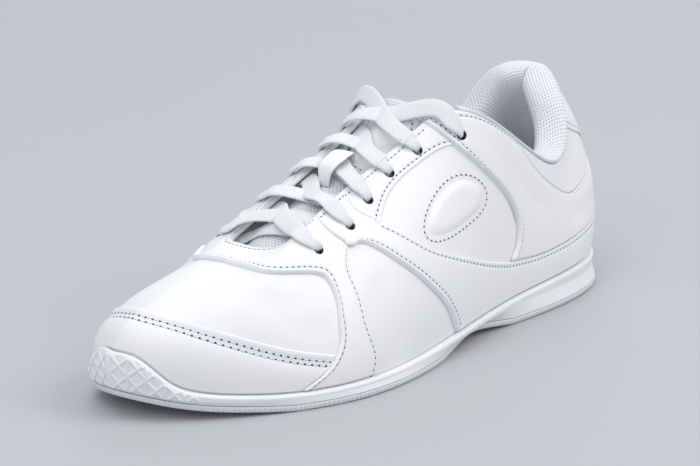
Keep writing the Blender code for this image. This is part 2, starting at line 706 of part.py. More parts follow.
# Panels sewn on the upper
LOW, HIGH = GAP + 0.1, GAP + 0.1 + OVERLAY
OVER_PANELS = HIGH + 2 * GAP
toe_edge, saddle_foot, saddle_rise = smooth(TOE_EDGE), smooth(SADDLE_FOOT), smooth(SADDLE_RISE)
saddle_back, saddle_head, band_low = smooth(SADDLE_BACK), smooth(SADDLE_HEAD), smooth(BAND_LOW)
band_head, band_mid, band_heel = smooth(BAND_HEAD), smooth(BAND_MID), smooth(BAND_HEEL)
eyestay_arc, quarter_head, quarter_front = smooth(EYESTAY_ARC), smooth(QUARTER_HEAD), smooth(QUARTER_FRONT)
cuff_line, tab_edge = smooth(CUFF_LINE), smooth(HEEL_TAB)

half = np.concatenate([saddle_foot, toe_edge])
toe_cap = loop(half, mirrored(half, 1), sole_line(2 - SADDLE_FOOT[0][0], SADDLE_FOOT[0][0]))
front = np.concatenate([saddle_foot, saddle_rise])
inner_front = np.concatenate([saddle_foot, smooth(INNER_RISE)])
back = np.concatenate([saddle_back, saddle_head])
saddle = loop(
    front,
    mirrored(inner_front, 1),
    sole_line(2 - SADDLE_FOOT[0][0], 2 - SADDLE_BACK[0][0]),
    mirrored(back[::-1], 1),
    topline(2 - SADDLE_HEAD[-1][0], SADDLE_HEAD[-1][0]),
    back[::-1],
    sole_line(SADDLE_BACK[0][0], SADDLE_FOOT[0][0]),
)
upper_edge = np.concatenate([band_head, band_mid, band_heel])
lower_edge = np.concatenate([saddle_head[::-1], band_low])
band = loop(
    upper_edge,
    mirrored(upper_edge, 0),
    topline(-BAND_HEAD[0][0], -SADDLE_HEAD[-1][0]),
    mirrored(lower_edge[::-1], 0),
    sole_line(-BAND_LOW[-1][0], BAND_LOW[-1][0]),
    lower_edge[::-1],
    topline(SADDLE_HEAD[-1][0], BAND_HEAD[0][0]),
)
eyestay = loop(band_head, eyestay_arc, quarter_head[::-1], topline(QUARTER_HEAD[0][0], BAND_HEAD[0][0]))
quarter_edge = np.concatenate([quarter_head, quarter_front, band_heel])
collar_edge = np.concatenate([topline(QUARTER_HEAD[0][0], CUFF_LINE[0][0]), cuff_line])
quarter = loop(quarter_edge, mirrored(quarter_edge, 0), mirrored(collar_edge, 0)[::-1], collar_edge[::-1])
cuff = loop(cuff_line, mirrored(cuff_line, 0), topline(-CUFF_LINE[0][0], CUFF_LINE[0][0]))
heel_tab = loop(tab_edge, mirrored(tab_edge, 0), topline(-HEEL_TAB[0][0], HEEL_TAB[0][0]))
for name, outline, punched in (
    ("toe_cap", toe_cap, False),
    ("saddle", saddle, True),
    ("heel_band", band, True),
    ("eyestay_outer", eyestay, True),
    ("eyestay_inner", mirrored(eyestay, 0), True),
    ("quarter", quarter, True),
    ("cuff", cuff, False),
):
    panel = make(name, cut_panel(outline, LOW, HIGH), LEATHER, LEATHER_ROUGH)
    if punched:
        combine(panel, holes, "DIFFERENCE")
make("heel_tab", cut_panel(heel_tab, OVER_PANELS, OVER_PANELS + TAB), LEATHER, LEATHER_ROUGH)

# Sole: a cup with a lip round the upper and a bumper at the toe, and an outsole under it
LIP_GAP = GAP + 0.1
base = around(BASE_COLUMNS, BASE, "base", TAUS)
lip = sole_v(TAUS)
half_lip = np.where(lip > 0.12, ROWS[1], lip / 2)
outer = LIP_GAP + LIP
floor_ring = facet(TAUS, 0, LIP_GAP)
floor_ring[:, 2] = footbed(TAUS) - GAP
cup = [
    offset_plan(base, ground(TAUS) + OUTSOLE + GAP),
    facet(TAUS, 0, outer),
    facet(TAUS, half_lip, outer),
    facet(TAUS, lip * 0.95, outer - 0.2),
    facet(TAUS, lip, outer - 1.0),
    facet(TAUS, lip, LIP_GAP),
    facet(TAUS, half_lip, LIP_GAP),
    floor_ring,
]
make("midsole", loft(cup, "paired"), RUBBER, RUBBER_ROUGH)

tread = [
    offset_plan(base - 1.2, ground(TAUS)),
    offset_plan(base + 0.2, ground(TAUS) + OUTSOLE * 0.5),
    offset_plan(base, ground(TAUS) + OUTSOLE),
]
outsole = make("outsole", loft(tread, "paired"), RUBBER, RUBBER_ROUGH)
for i, x in enumerate(GROOVES):
    half = GROOVE_WIDTH / 2
    ends = ((x - half, -BALL_WIDTH), (x + half, BALL_WIDTH))
    square = [(ends[a][0], ends[b][1]) for a, b in ((0, 0), (1, 0), (1, 1), (0, 1))]
    rings = [[(*corner, height) for corner in square] for height in (-GROOVE_DEPTH, GROOVE_DEPTH)]
    groove = make(f"groove_{i + 1}", loft(rings, "capped"), RUBBER, RUBBER_ROUGH, cutter=True)
    combine(outsole, groove, "DIFFERENCE")

inside = -(WALL + GAP + 0.2)
board = [facet(TAUS, 0, inside), facet(TAUS, 0, inside)]
board[0][:, 2] = footbed(TAUS)
board[1][:, 2] = footbed(TAUS) + INSOLE
make("insole", loft(board, "paired"), FABRIC, FABRIC_ROUGH)

# Tongue, padded collar, laces
make("tongue", loft(tongue_rings(), "capped"), FABRIC, FABRIC_ROUGH)
make("collar_pad", loft(collar_rings(), "capped"), FABRIC, FABRIC_ROUGH)
make("lace_bar", loft(lace_bar(), "capped"), FABRIC, FABRIC_ROUGH)
for level in range(len(EYELETS) - 1):
    over = loft(strand(level, 1, CROSSING_LIFT), "capped")
    under = loft(strand(level, -1, 0), "capped")
    crossing = make(f"lace_{level + 1}", over, FABRIC, FABRIC_ROUGH)
    other = make(f"lace_{level + 1}_under", under, FABRIC, FABRIC_ROUGH, cutter=True)
    combine(crossing, other, "UNION")

keeper_x, keeper_over, keeper_width = np.array(KEEPER).T
keeper_path = np.stack([keeper_x, swing(keeper_x), tongue_ridge(keeper_x) + keeper_over], -1)
keeper_along = np.gradient(keeper_path, axis=0)
keeper_normals = np.stack([keeper_along[:, 2], 0 * keeper_along[:, 1], -keeper_along[:, 0]], -1)
strap = ribbon(keeper_path, keeper_normals, keeper_width, KEEPER_THICKNESS, 17)
make("lace_keeper", loft(strap, "capped"), LEATHER, LEATHER_ROUGH)
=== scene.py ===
# Looks of a low-cut white cheerleading shoe for the left foot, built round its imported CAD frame.
# Shoe sizes are in millimetres: x from heel to toe, y to the outer side, z up.
# A place on the upper is (tau, v): tau 0 heel, 1 toe, negative on the inner side; v 0 footbed, 1 topline.
import json
import math

import bmesh
import bpy
import numpy as np
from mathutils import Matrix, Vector

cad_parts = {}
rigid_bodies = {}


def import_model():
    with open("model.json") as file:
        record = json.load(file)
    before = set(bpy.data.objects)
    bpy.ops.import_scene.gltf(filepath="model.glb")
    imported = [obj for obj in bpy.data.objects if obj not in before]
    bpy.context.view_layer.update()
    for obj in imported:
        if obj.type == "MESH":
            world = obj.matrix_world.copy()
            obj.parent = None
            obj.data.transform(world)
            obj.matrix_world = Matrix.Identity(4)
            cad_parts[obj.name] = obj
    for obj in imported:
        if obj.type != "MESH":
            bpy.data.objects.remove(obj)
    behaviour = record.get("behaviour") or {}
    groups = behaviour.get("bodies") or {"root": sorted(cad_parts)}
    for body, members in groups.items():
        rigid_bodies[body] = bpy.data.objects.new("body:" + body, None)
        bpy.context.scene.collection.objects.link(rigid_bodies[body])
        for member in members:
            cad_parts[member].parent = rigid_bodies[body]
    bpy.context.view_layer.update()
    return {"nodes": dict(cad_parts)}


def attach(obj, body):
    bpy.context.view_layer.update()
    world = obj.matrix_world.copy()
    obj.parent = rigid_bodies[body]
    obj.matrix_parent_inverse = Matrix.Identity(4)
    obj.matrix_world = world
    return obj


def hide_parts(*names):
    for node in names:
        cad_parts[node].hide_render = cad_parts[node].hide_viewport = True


for spare in list(bpy.data.objects):
    bpy.data.objects.remove(spare)
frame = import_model()
print("frame:", len(frame["nodes"]), "CAD nodes")

shoe = {
    "length": 264.0,
    "halfWidth": 49.0,  # half the ball width
    "instep": 90.0,  # height of the collar in front of the ankle
    "wall": 1.8,  # leather and lining together
    "swingStart": 0.34,  # share of the length where the forefoot turns inwards
    "swingToe": -19.0,
    "fallBlend": 20.0,  # ribs shorter than this in plan fall more and more along the plan's normal
    "origin": (130.2, -4.95, 0.0),  # the frame's origin, in shoe sizes
}

# Lower ends of the last's ribs: footX as a share of length, footY of halfWidth, lean in degrees,
# rise in millimetres
ribFeet = {
    "columns": ("key", "footX", "footY", "lean", "rise"),
    "rows": (
        (0.00, 0.015, 0.00, 13, 24),
        (0.12, 0.053, 0.47, 14, 22),
        (0.24, 0.159, 0.66, 12, 17),
        (0.36, 0.295, 0.69, 9, 20),
        (0.48, 0.432, 0.77, 7, 26),
        (0.60, 0.580, 0.90, 7, 24),
        (0.72, 0.727, 0.93, 8, 22),
        (0.84, 0.864, 0.69, 10, 26),
        (0.93, 0.947, 0.38, 11, 29),
        (1.00, 0.981, 0.00, 12, 30),
    ),
}

# Upper ends of the ribs, on the topline: topZ as a share of instep, reach in millimetres, fall in degrees;
# innerRise and innerFall are added on the inner side
ribTops = {
    "columns": ("key", "topX", "topY", "topZ", "reach", "fall", "innerRise", "innerFall"),
    "rows": (
        (0.00, 0.055, 0.000, 0.925, 32, 62, 0, 0),
        (0.06, 0.067, 0.180, 0.880, 31, 57, 4, 0),
        (0.12, 0.095, 0.380, 0.785, 29, 61, 7.5, 0),
        (0.18, 0.130, 0.510, 0.670, 20, 79, 5.5, 0),
        (0.24, 0.174, 0.580, 0.635, 15, 84, 0, 0),
        (0.30, 0.227, 0.600, 0.710, 17, 83, -4, 0),
        (0.36, 0.284, 0.590, 0.830, 20, 80, -4, 0),
        (0.42, 0.341, 0.550, 0.945, 24, 75, -2, 0),
        (0.48, 0.386, 0.460, 1.000, 26, 67, 0, 0),
        (0.54, 0.417, 0.330, 0.980, 28, 55, 0, 0),
        (0.60, 0.462, 0.257, 0.905, 28, 43, 2, 0),
        (0.72, 0.598, 0.230, 0.750, 26, 32, 1, 3),
        (0.84, 0.697, 0.320, 0.655, 26, 24, -6, 9),
        (0.93, 0.722, 0.230, 0.590, 33, 14, -2.2, 3.4),
        (1.00, 0.728, 0.000, 0.567, 36, 10, 0, 0),
    ),
}

# Heights of the sole in millimetres, and how far its lower edge stands outside the upper's
soleGround = {
    "columns": ("key", "ground"),
    "rows": (
        (0, 2.0), (0.12, -0.6), (0.34, -1.0), (0.40, 1.2), (0.46, 3.0), (0.52, 1.2),
        (0.58, -1.0), (0.75, -1.0), (0.84, 1.4), (0.93, 5.0), (1, 8.0),
    ),
}
soleBed = {
    "columns": ("key", "bed"),
    "rows": (
        (0, 9.0), (0.24, 8.8), (0.42, 8.4), (0.60, 5.8), (0.72, 5.2), (0.84, 6.4), (0.93, 9.8), (1, 12.8),
    ),
}
soleEdge = {
    "columns": ("key", "edge"),
    "rows": (
        (0, 14.0), (0.12, 13.2), (0.24, 12.4), (0.36, 11.2), (0.48, 9.4), (0.60, 7.2), (0.72, 6.6),
        (0.80, 7.2), (0.86, 9.0), (0.905, 11.2), (0.93, 14.2), (0.955, 20.5), (0.975, 24.2), (1, 25.0),
    ),
}
soleBase = {
    "columns": ("key", "base"),
    "rows": (
        (0, 4.4), (0.2, 4.4), (0.37, 2.2), (0.46, -1.4), (0.55, 1.6), (0.64, 3.4), (0.84, 2.2), (1, 1.5),
    ),
}


def splineThrough(keys, values, at):
    # natural cubic spline: the bends at the keys solve a three-band system, each span is then one cubic
    keys, values, at = (np.asarray(a, float) for a in (keys, values, at))
    step = np.diff(keys)
    slope = np.diff(values, axis=0) / step.reshape(-1, *[1] * (values.ndim - 1))
    inner = np.arange(1, len(keys) - 1)
    system = np.eye(len(keys))
    system[inner, inner - 1] = step[:-1]
    system[inner, inner] = 2 * (step[:-1] + step[1:])
    system[inner, inner + 1] = step[1:]
    right = np.zeros_like(values)
    right[inner] = 6 * np.diff(slope, axis=0)
    bend = np.linalg.solve(system, right.reshape(len(keys), -1)).reshape(values.shape)
    i = np.clip(np.searchsorted(keys, at) - 1, 0, len(step) - 1)
    shape = at.shape + (1,) * (values.ndim - 1)
    a, b, h = (x.reshape(shape) for x in (at - keys[i], keys[i + 1] - at, step[i]))
    curve = (bend[i] * b**3 + bend[i + 1] * a**3) / (6 * h)
    return curve + (values[i] / h - bend[i] * h / 6) * b + (values[i + 1] / h - bend[i + 1] * h / 6) * a


def around(table, name, tau):
    # a half table carried on to the inner side by reflection, odd for names that end in Y, read as a spline
    rows = np.array(table["rows"], float)
    keys, values = rows[:, 0], rows[:, table["columns"].index(name)]
    sign = -1 if name.endswith("Y") else 1
    keys = np.concatenate([-keys[:0:-1], keys, 2 - keys[-2::-1]])
    values = np.concatenate([sign * values[:0:-1], values, sign * values[-2::-1]])
    return splineThrough(keys, values, (np.asarray(tau, float) + 1) % 2 - 1)


def unit(vectors):
    # each vector over its own length
    return vectors / np.maximum(np.linalg.norm(vectors, axis=-1, keepdims=True), 1e-9)


def swing(x):
    # sideways turn of the forefoot: a parabola from swingStart to the toe
    forward = np.clip((x / shoe["length"] - shoe["swingStart"]) / (1 - shoe["swingStart"]), 0, None)
    return shoe["swingToe"] * forward**2


def footPlan(tau):
    # plan of the upper's lower edge and its outward normal, the tangent turned by a quarter
    def plan(at):  # footX and footY in millimetres
        x, y = (around(ribFeet, name, at) for name in ("footX", "footY"))
        return np.stack([x * shoe["length"], y * shoe["halfWidth"]], -1)

    step = 1e-4
    tangent = plan(tau + step) - plan(tau)
    return plan(tau), unit(np.stack([-tangent[..., 1], tangent[..., 0]], -1))


def lastPoint(tau, v):
    # cubic Bezier rib from the foot plan to the topline: leans out at its foot, falls outwards from its top
    tau, v = np.broadcast_arrays(np.asarray(tau, float), np.asarray(v, float))
    inner = (tau + 1) % 2 < 1
    plan, normal = footPlan(tau)
    foot = np.concatenate([plan, around(soleBed, "bed", tau)[..., None]], -1)
    columns = (around(ribTops, name, tau) for name in ribTops["columns"][1:])
    topX, topY, topZ, reach, fall, innerRise, innerFall = columns
    topZ = topZ * shoe["instep"] + np.where(inner, innerRise, 0)
    top = np.stack([topX * shoe["length"], topY * shoe["halfWidth"], topZ], -1)
    lean = np.radians(around(ribFeet, "lean", tau))
    fall = np.radians(fall + np.where(inner, innerFall, 0))
    away = foot[..., :2] - top[..., :2]
    far = np.linalg.norm(away, axis=-1, keepdims=True)
    share = np.clip(far / shoe["fallBlend"], 0, 1)
    away = unit(away / np.maximum(far, 1e-6) * share + normal * (1 - share))
    up = np.concatenate([normal * np.sin(lean)[..., None], np.cos(lean)[..., None]], -1)
    down = np.concatenate([away * np.cos(fall)[..., None], -np.sin(fall)[..., None]], -1)
    handle = foot + up * around(ribFeet, "rise", tau)[..., None]
    shoulder = top + down * reach[..., None]
    v = v[..., None]
    points = (1 - v) ** 3 * foot + 3 * (1 - v) ** 2 * v * handle + 3 * (1 - v) * v**2 * shoulder + v**3 * top
    points[..., 1] += swing(points[..., 0])
    return points


def lastNormal(tau, v):
    # cross product of the last's two slopes
    step = 1e-4
    upwards = lastPoint(tau, v + step) - lastPoint(tau, v - step)
    onwards = lastPoint(tau + step, v) - lastPoint(tau - step, v)
    return unit(np.cross(upwards, onwards))


metric = np.array((300.0, 75.0))  # millimetres for one unit of tau and of v, roughly

# Main creases and soft hollows of the leather: (tau, v) of both ends, half width and depth in millimetres
creases = {
    "columns": ("tau", "v", "tauEnd", "vEnd", "width", "depth"),
    "ridge": 1.4,  # how strongly the leather rises beside a trough
    "rows": (
        (0.765, 0.33, 0.850, 0.52, 7.0, 0.35),  # across the vamp, where the toes bend
        (1.235, 0.33, 1.150, 0.52, 7.0, 0.35),
        (0.790, 0.50, 0.900, 0.62, 5.0, 0.22),
        (1.210, 0.50, 1.100, 0.62, 5.0, 0.22),
        (0.640, 0.16, 0.668, 0.42, 8.0, 0.40),  # under the heel band's rolled edge
        (1.360, 0.16, 1.332, 0.42, 8.0, 0.40),
        (0.300, 0.62, 0.390, 0.80, 9.0, 0.35),  # below the ankle
        (-0.300, 0.62, -0.390, 0.80, 9.0, 0.35),
        (0.110, 0.45, 0.200, 0.50, 8.0, 0.30),  # round the heel
        (-0.110, 0.45, -0.200, 0.50, 8.0, 0.30),
    ),
}


def softForm(tau, v):
    # for each crease a trough with a low ridge on both sides, by the distance from its line
    rows = np.array(creases["rows"])
    spot = np.stack(np.broadcast_arrays(tau, v), -1)[..., None, :] - rows[:, :2]
    spot[..., 0] = (spot[..., 0] + 1) % 2 - 1
    spot = spot * metric
    line = (rows[:, 2:4] - rows[:, :2]) * metric
    along = np.clip(np.sum(spot * line, -1) / np.sum(line**2, -1), 0, 1)
    share = np.linalg.norm(spot - along[..., None] * line, axis=-1) / rows[:, 4]
    return -np.sum(rows[:, 5] * (1 - creases["ridge"] * share**2) * np.exp(-(share**2)), -1)


def offLast(tau, v, distance):
    # the last moved outwards along its normal
    return lastPoint(tau, v) + lastNormal(tau, v) * np.asarray(distance, float)[..., None]


def skin(tau, v, offset):
    # the same with the creases pressed in
    tau, v, offset = np.broadcast_arrays(*(np.asarray(a, float) for a in (tau, v, offset)))
    return offLast(tau, v, offset + softForm(tau, v))


def soleV(tau, clearance=0.0):
    # where a rib reaches the height of the sole's edge, by linear search along it
    tau = np.atleast_1d(np.asarray(tau, float))
    steps = np.linspace(0, 0.5, 301)
    heights = lastPoint(tau[:, None], steps[None, :])[..., 2]
    wanted = around(soleEdge, "edge", tau) + clearance
    i = np.clip(np.sum(heights < wanted[:, None], axis=1), 1, len(steps) - 1)
    row = np.arange(len(tau))
    share = (wanted - heights[row, i - 1]) / (heights[row, i] - heights[row, i - 1])
    return steps[i - 1] + share * (steps[1] - steps[0])


def place(points):
    # shoe millimetres to the frame's metres
    return (np.asarray(points, float) - shoe["origin"]) * 0.001


def addMesh(name, points, quads, caps=(), uv=None, materials=(), slots=None):
    # one object from arrays, its faces turned outwards by the sign of its volume
    points = np.asarray(points, float).reshape(-1, 3)
    a, b, c, d = (points[quads[:, k]] for k in range(4))
    volume = np.sum(a * (np.cross(b, c) + np.cross(c, d)))
    order = slice(None) if volume > 0 else slice(None, None, -1)
    faces = quads[:, order].tolist() + [list(cap)[order] for cap in caps]
    mesh = bpy.data.meshes.new(name)
    mesh.from_pydata(place(points).tolist(), [], faces)
    if uv is not None:
        corners = np.concatenate([uv[:, order].reshape(-1, 2), np.zeros((sum(map(len, caps)), 2))])
        mesh.uv_layers.new(name="UVMap").data.foreach_set("uv", corners.ravel())
    for material in materials:
        mesh.materials.append(material)
    if slots is not None:
        everyFace = np.concatenate([slots, np.zeros(len(caps), int)])
        mesh.polygons.foreach_set("material_index", everyFace.astype(np.int32))
    mesh.shade_smooth()
    mesh.set_sharp_from_angle(angle=math.radians(60))  # steeper edges stay sharp
    piece = bpy.data.objects.new(name, mesh)
    bpy.context.scene.collection.objects.link(piece)
    return piece


def gridQuads(stack, count, joined=False, ring=True):
    # corner numbers of the quads between neighbouring rows of a grid, closed round where ring or joined
    i = np.arange(stack if joined else stack - 1)[:, None]
    j = np.arange(count if ring else count - 1)[None, :]
    i, j = (x.ravel() for x in np.broadcast_arrays(i, j))
    corners = ((i, j), (i, j + 1), (i + 1, j + 1), (i + 1, j))
    return np.stack([(a % stack) * count + b % count for a, b in corners], -1), corners


def loftPiece(name, rings, joined=False, uv=None, materials=(), slots=None):
    # closed rings joined by quads; the ends are capped unless the last ring meets the first
    rings = np.asarray(rings, float)
    stack, count = rings.shape[:2]
    quads, corners = gridQuads(stack, count, joined)
    last = (stack - 1) * count
    ends = () if joined else (tuple(range(count))[::-1], tuple(range(last, last + count)))
    corner = None if uv is None else np.stack([uv[a, b] for a, b in corners], 1)
    return addMesh(name, rings, quads, ends, corner, materials, slots)


def finishPiece(piece, slot, *nodes):
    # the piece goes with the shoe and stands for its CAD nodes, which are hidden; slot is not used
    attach(piece, "root")
    if nodes:
        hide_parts(*nodes)
    print("piece:", piece.name, len(piece.data.polygons), "faces")
    return piece


class Wire:
    # one socket of a material; arithmetic on it adds Math nodes
    def __init__(self, tree, socket=None):
        self.tree = tree
        self.socket = socket

    def node(self, kind, settings, inputs, output=0):  # a new node, its inputs wired or set
        made = self.tree.nodes.new(kind)
        for key, value in settings.items():
            setattr(made, key, value)
        for key, value in inputs.items():
            if isinstance(value, Wire):
                self.tree.links.new(value.socket, made.inputs[key])
            else:
                made.inputs[key].default_value = value
        return Wire(self.tree, made.outputs[output])

    def maths(self, operation, *values):  # a Math node on wires and numbers
        return self.node("ShaderNodeMath", {"operation": operation}, dict(enumerate(values)))

    def __add__(self, other):
        return self.maths("ADD", self, other)

    def __radd__(self, other):
        return self.maths("ADD", other, self)

    def __sub__(self, other):
        return self.maths("SUBTRACT", self, other)

    def __mul__(self, other):
        return self.maths("MULTIPLY", self, other)

    def __truediv__(self, other):
        return self.maths("DIVIDE", self, other)

    def floor(self):
        return self.maths("FLOOR", self)

    def fraction(self):
        return self.maths("FRACT", self)

    def sine(self):
        return self.maths("SINE", self)

    def size(self):
        return self.maths("ABSOLUTE", self)

    def between(self, low, high):  # 0 below low, 1 above high, smooth in between
        settings = {"interpolation_type": "SMOOTHSTEP"}
        return self.node("ShaderNodeMapRange", settings, {"Value": self, "From Min": low, "From Max": high})

    def tint(self, first, second):  # first colour at 0, second at 1
        inputs = {"Factor": self, 6: (*first, 1), 7: (*second, 1)}
        return self.node("ShaderNodeMix", {"data_type": "RGBA"}, inputs, 2)


def newMaterial(name, sheen=0.0, coat=0.0, specular=0.5):
    # an empty Principled material; the even values go straight onto the shader's sockets
    material = bpy.data.materials.new(name)
    material.use_nodes = True
    shader = material.node_tree.nodes["Principled BSDF"]
    even = {"Sheen Weight": sheen, "Coat Weight": coat, "Specular IOR Level": specular}
    for key, value in even.items():
        shader.inputs[key].default_value = value
    return material, Wire(material.node_tree), shader


def finishMaterial(material, shader, colour, roughness, height=None, depth=0.0002, strength=0.5):
    # colour, roughness and a bump from a height onto the shader
    wires = material.node_tree.links
    for key, value in (("Base Color", colour), ("Roughness", roughness)):
        if isinstance(value, Wire):
            wires.new(value.socket, shader.inputs[key])
        else:
            shader.inputs[key].default_value = value
    if height is not None:
        bump = height.node("ShaderNodeBump", {}, {"Strength": strength, "Distance": depth, "Height": height})
        wires.new(bump.socket, shader.inputs["Normal"])
    return material


def texture(wire, kind, settings, inputs):
    # a texture over the object's own coordinates, its scale in waves for each metre
    coordinates = wire.node("ShaderNodeTexCoord", {}, {}, "Object")
    return wire.node(kind, settings, {"Vector": coordinates, **inputs})


def noise(wire, scale, detail=2.0, roughness=0.5):
    # soft clouds
    return texture(wire, "ShaderNodeTexNoise", {}, {"Scale": scale, "Detail": detail, "Roughness": roughness})


def pebble(wire, scale):
    # leather pores: distance to the nearest of scattered points
    settings = {"feature": "SMOOTH_F1"}
    return texture(wire, "ShaderNodeTexVoronoi", settings, {"Scale": scale, "Smoothness": 0.6})


def surfaceUv(wire):
    # the piece's own UV map in millimetres, as two values
    split = wire.node("ShaderNodeTexCoord", {}, {}, "UV")
    return [split.node("ShaderNodeSeparateXYZ", {}, {0: split}, axis) for axis in ("X", "Y")]


leatherLook = {
    "white": (0.865, 0.87, 0.885),
    "shade": (0.84, 0.85, 0.875),  # in the soft clouding
    "clouds": 22.0,  # for each metre, as the two below
    "fine": 260.0,
    "grain": 1300.0,
    "roughness": 0.48,
    "coat": 0.06,
}
panelLook = {**leatherLook, "white": (0.875, 0.88, 0.895), "shade": (0.85, 0.86, 0.885)}


def leatherMaterial(name, look):
    # white coated leather: cloudy tint, fine pores, slightly uneven gloss
    material, wire, shader = newMaterial(name, coat=look["coat"], specular=0.4)
    cloud = noise(wire, look["clouds"], 3.0)
    fine = noise(wire, look["fine"])
    pores = pebble(wire, look["grain"])
    colour = (cloud * 0.8 + fine * 0.2).between(0.35, 0.7).tint(look["white"], look["shade"])
    roughness = look["roughness"] + (cloud - 0.5) * 0.12 + (fine - 0.5) * 0.10
    height = pores * 0.6 + fine * 0.5
    return finishMaterial(material, shader, colour, roughness, height, 0.00012, 0.35)


meshLook = {
    "white": (0.86, 0.87, 0.90),
    # painted shade: the colour of the shadow inside the mesh holes, not of the cloth
    "hole": (0.52, 0.55, 0.65),
    "pitch": 1.6,  # between holes along the cloth
    "row": 1.2,  # between rows of holes
    "yarn": 1800.0,  # fibres for each metre
}


def meshMaterial(name, look):
    # spacer mesh: rows of oval holes, every second row moved by half a pitch, raised rims between them; the
    # holes get painted shade, a grey-lilac in place of the shadow inside them
    material, wire, shader = newMaterial(name, sheen=0.25, specular=0.3)
    along, across = surfaceUv(wire)
    row = (across / look["row"]).floor()
    x = (along / look["pitch"] + row * 0.5).fraction() - 0.5
    y = (across / look["row"]).fraction() - 0.5
    reach = x * x + y * y * 1.6
    knit = reach.between(0.02, 0.11)
    yarn = noise(wire, look["yarn"])
    # painted shade in the holes, white on the rims, with a little random yarn tone
    colour = (knit * 0.92 + yarn * 0.08).tint(look["hole"], look["white"])
    height = knit + yarn * 0.18
    return finishMaterial(material, shader, colour, 0.82 + (yarn - 0.5) * 0.12, height, 0.0005, 0.8)


laceLook = {
    "white": (0.87, 0.88, 0.905),
    # painted shade: the colour of the shadow in the gaps between the strands
    "gap": (0.66, 0.69, 0.77),
    "pitch": 1.1,  # between strands of the braid
    "fibre": 2600.0,  # for each metre
}


def laceMaterial(name, look):
    # flat braid: slanted strands that cross from both edges, with painted shade in the soft gaps between
    material, wire, shader = newMaterial(name, sheen=0.3, specular=0.25)
    along, across = surfaceUv(wire)
    turn = math.pi / look["pitch"]
    first = ((along + across) * turn).sine().size()
    second = ((along - across) * turn).sine().size()
    fibre = noise(wire, look["fibre"])
    braid = (first * 0.5 + second * 0.5).between(0.12, 0.75)
    # painted shade in the gaps, white on the strands, with random fibre tone
    colour = (braid * 0.9 + fibre * 0.1).between(0.05, 0.6).tint(look["gap"], look["white"])
    height = braid + fibre * 0.3
    return finishMaterial(material, shader, colour, 0.86 + (fibre - 0.5) * 0.1, height, 0.0003, 0.6)


cupLook = {
    "white": (0.87, 0.88, 0.90),
    "shade": (0.84, 0.85, 0.88),
    "mottle": 35.0,  # for each metre, as the next
    "spark": 1500.0,
    "roughness": 0.50,
}
treadLook = {**cupLook, "white": (0.82, 0.83, 0.855), "shade": (0.78, 0.79, 0.825), "roughness": 0.62}


def rubberMaterial(name, look):
    # moulded rubber: fine spark texture, faint mottling
    material, wire, shader = newMaterial(name, specular=0.4)
    mottle = noise(wire, look["mottle"], 3.0)
    spark = noise(wire, look["spark"], 3.0, 0.7)
    colour = mottle.between(0.35, 0.7).tint(look["white"], look["shade"])
    roughness = look["roughness"] + (spark - 0.5) * 0.15
    return finishMaterial(material, shader, colour, roughness, spark, 0.00012, 0.4)


threadLook = {"low": (0.70, 0.72, 0.78), "high": (0.83, 0.84, 0.87), "twist": 3000.0}


def threadMaterial(name, look):
    # twisted sewing thread
    material, wire, shader = newMaterial(name, sheen=0.2, specular=0.35)
    twist = noise(wire, look["twist"], 1.0)
    colour = twist.tint(look["low"], look["high"])
    return finishMaterial(material, shader, colour, 0.6 + (twist - 0.5) * 0.1, twist, 0.0001, 0.5)


# painted shade: deep and rim are dark navy tones that stand in for the shadow in holes
holeShadeLook = {"deep": (0.050, 0.060, 0.12), "rim": (0.090, 0.105, 0.18), "patches": 900.0}


def holeShadeMaterial(name, look):
    # painted shade for the inside of a needle hole or an eyelet: dark navy patches in place of the shadow
    # there
    material, wire, shader = newMaterial(name, specular=0.1)
    depth = noise(wire, look["patches"], 1.0)
    return finishMaterial(material, shader, depth.tint(look["deep"], look["rim"]), 0.9)


# the gap colour is painted shade between the yarns; white is the yarn's own colour
liningLook = {"gap": (0.66, 0.68, 0.74), "white": (0.80, 0.815, 0.85), "weave": 5.5, "nap": 900.0}


def insoleMaterial(name, look):
    # fine plain-woven sock lining, with painted shade in the gaps of the weave and random tone from the nap
    material, wire, shader = newMaterial(name, sheen=0.2, specular=0.2)
    along, across = surfaceUv(wire)
    weave = (along * look["weave"]).sine() * (across * look["weave"]).sine()
    nap = noise(wire, look["nap"])
    # partly painted shade in the weave's gaps, partly random nap tone
    colour = (weave * 0.25 + nap * 0.5 + 0.25).tint(look["gap"], look["white"])
    return finishMaterial(material, shader, colour, 0.88 + (nap - 0.5) * 0.1, weave + nap, 0.0002, 0.5)


leather = leatherMaterial("smooth_leather", leatherLook)
panelLeather = leatherMaterial("panel_leather", panelLook)
meshCloth = meshMaterial("spacer_mesh", meshLook)
laceBraid = laceMaterial("lace_braid", laceLook)
midsoleRubber = rubberMaterial("midsole_rubber", cupLook)
outsoleRubber = rubberMaterial("outsole_rubber", treadLook)
thread = threadMaterial("sewing_thread", threadLook)
# painted shade material for the needle holes and the eyelet walls
holeShadePaint = holeShadeMaterial("painted_hole_shade", holeShadeLook)
sockLining = insoleMaterial("sock_lining", liningLook)
print("materials: leather, mesh, braid, rubber, thread and lining")

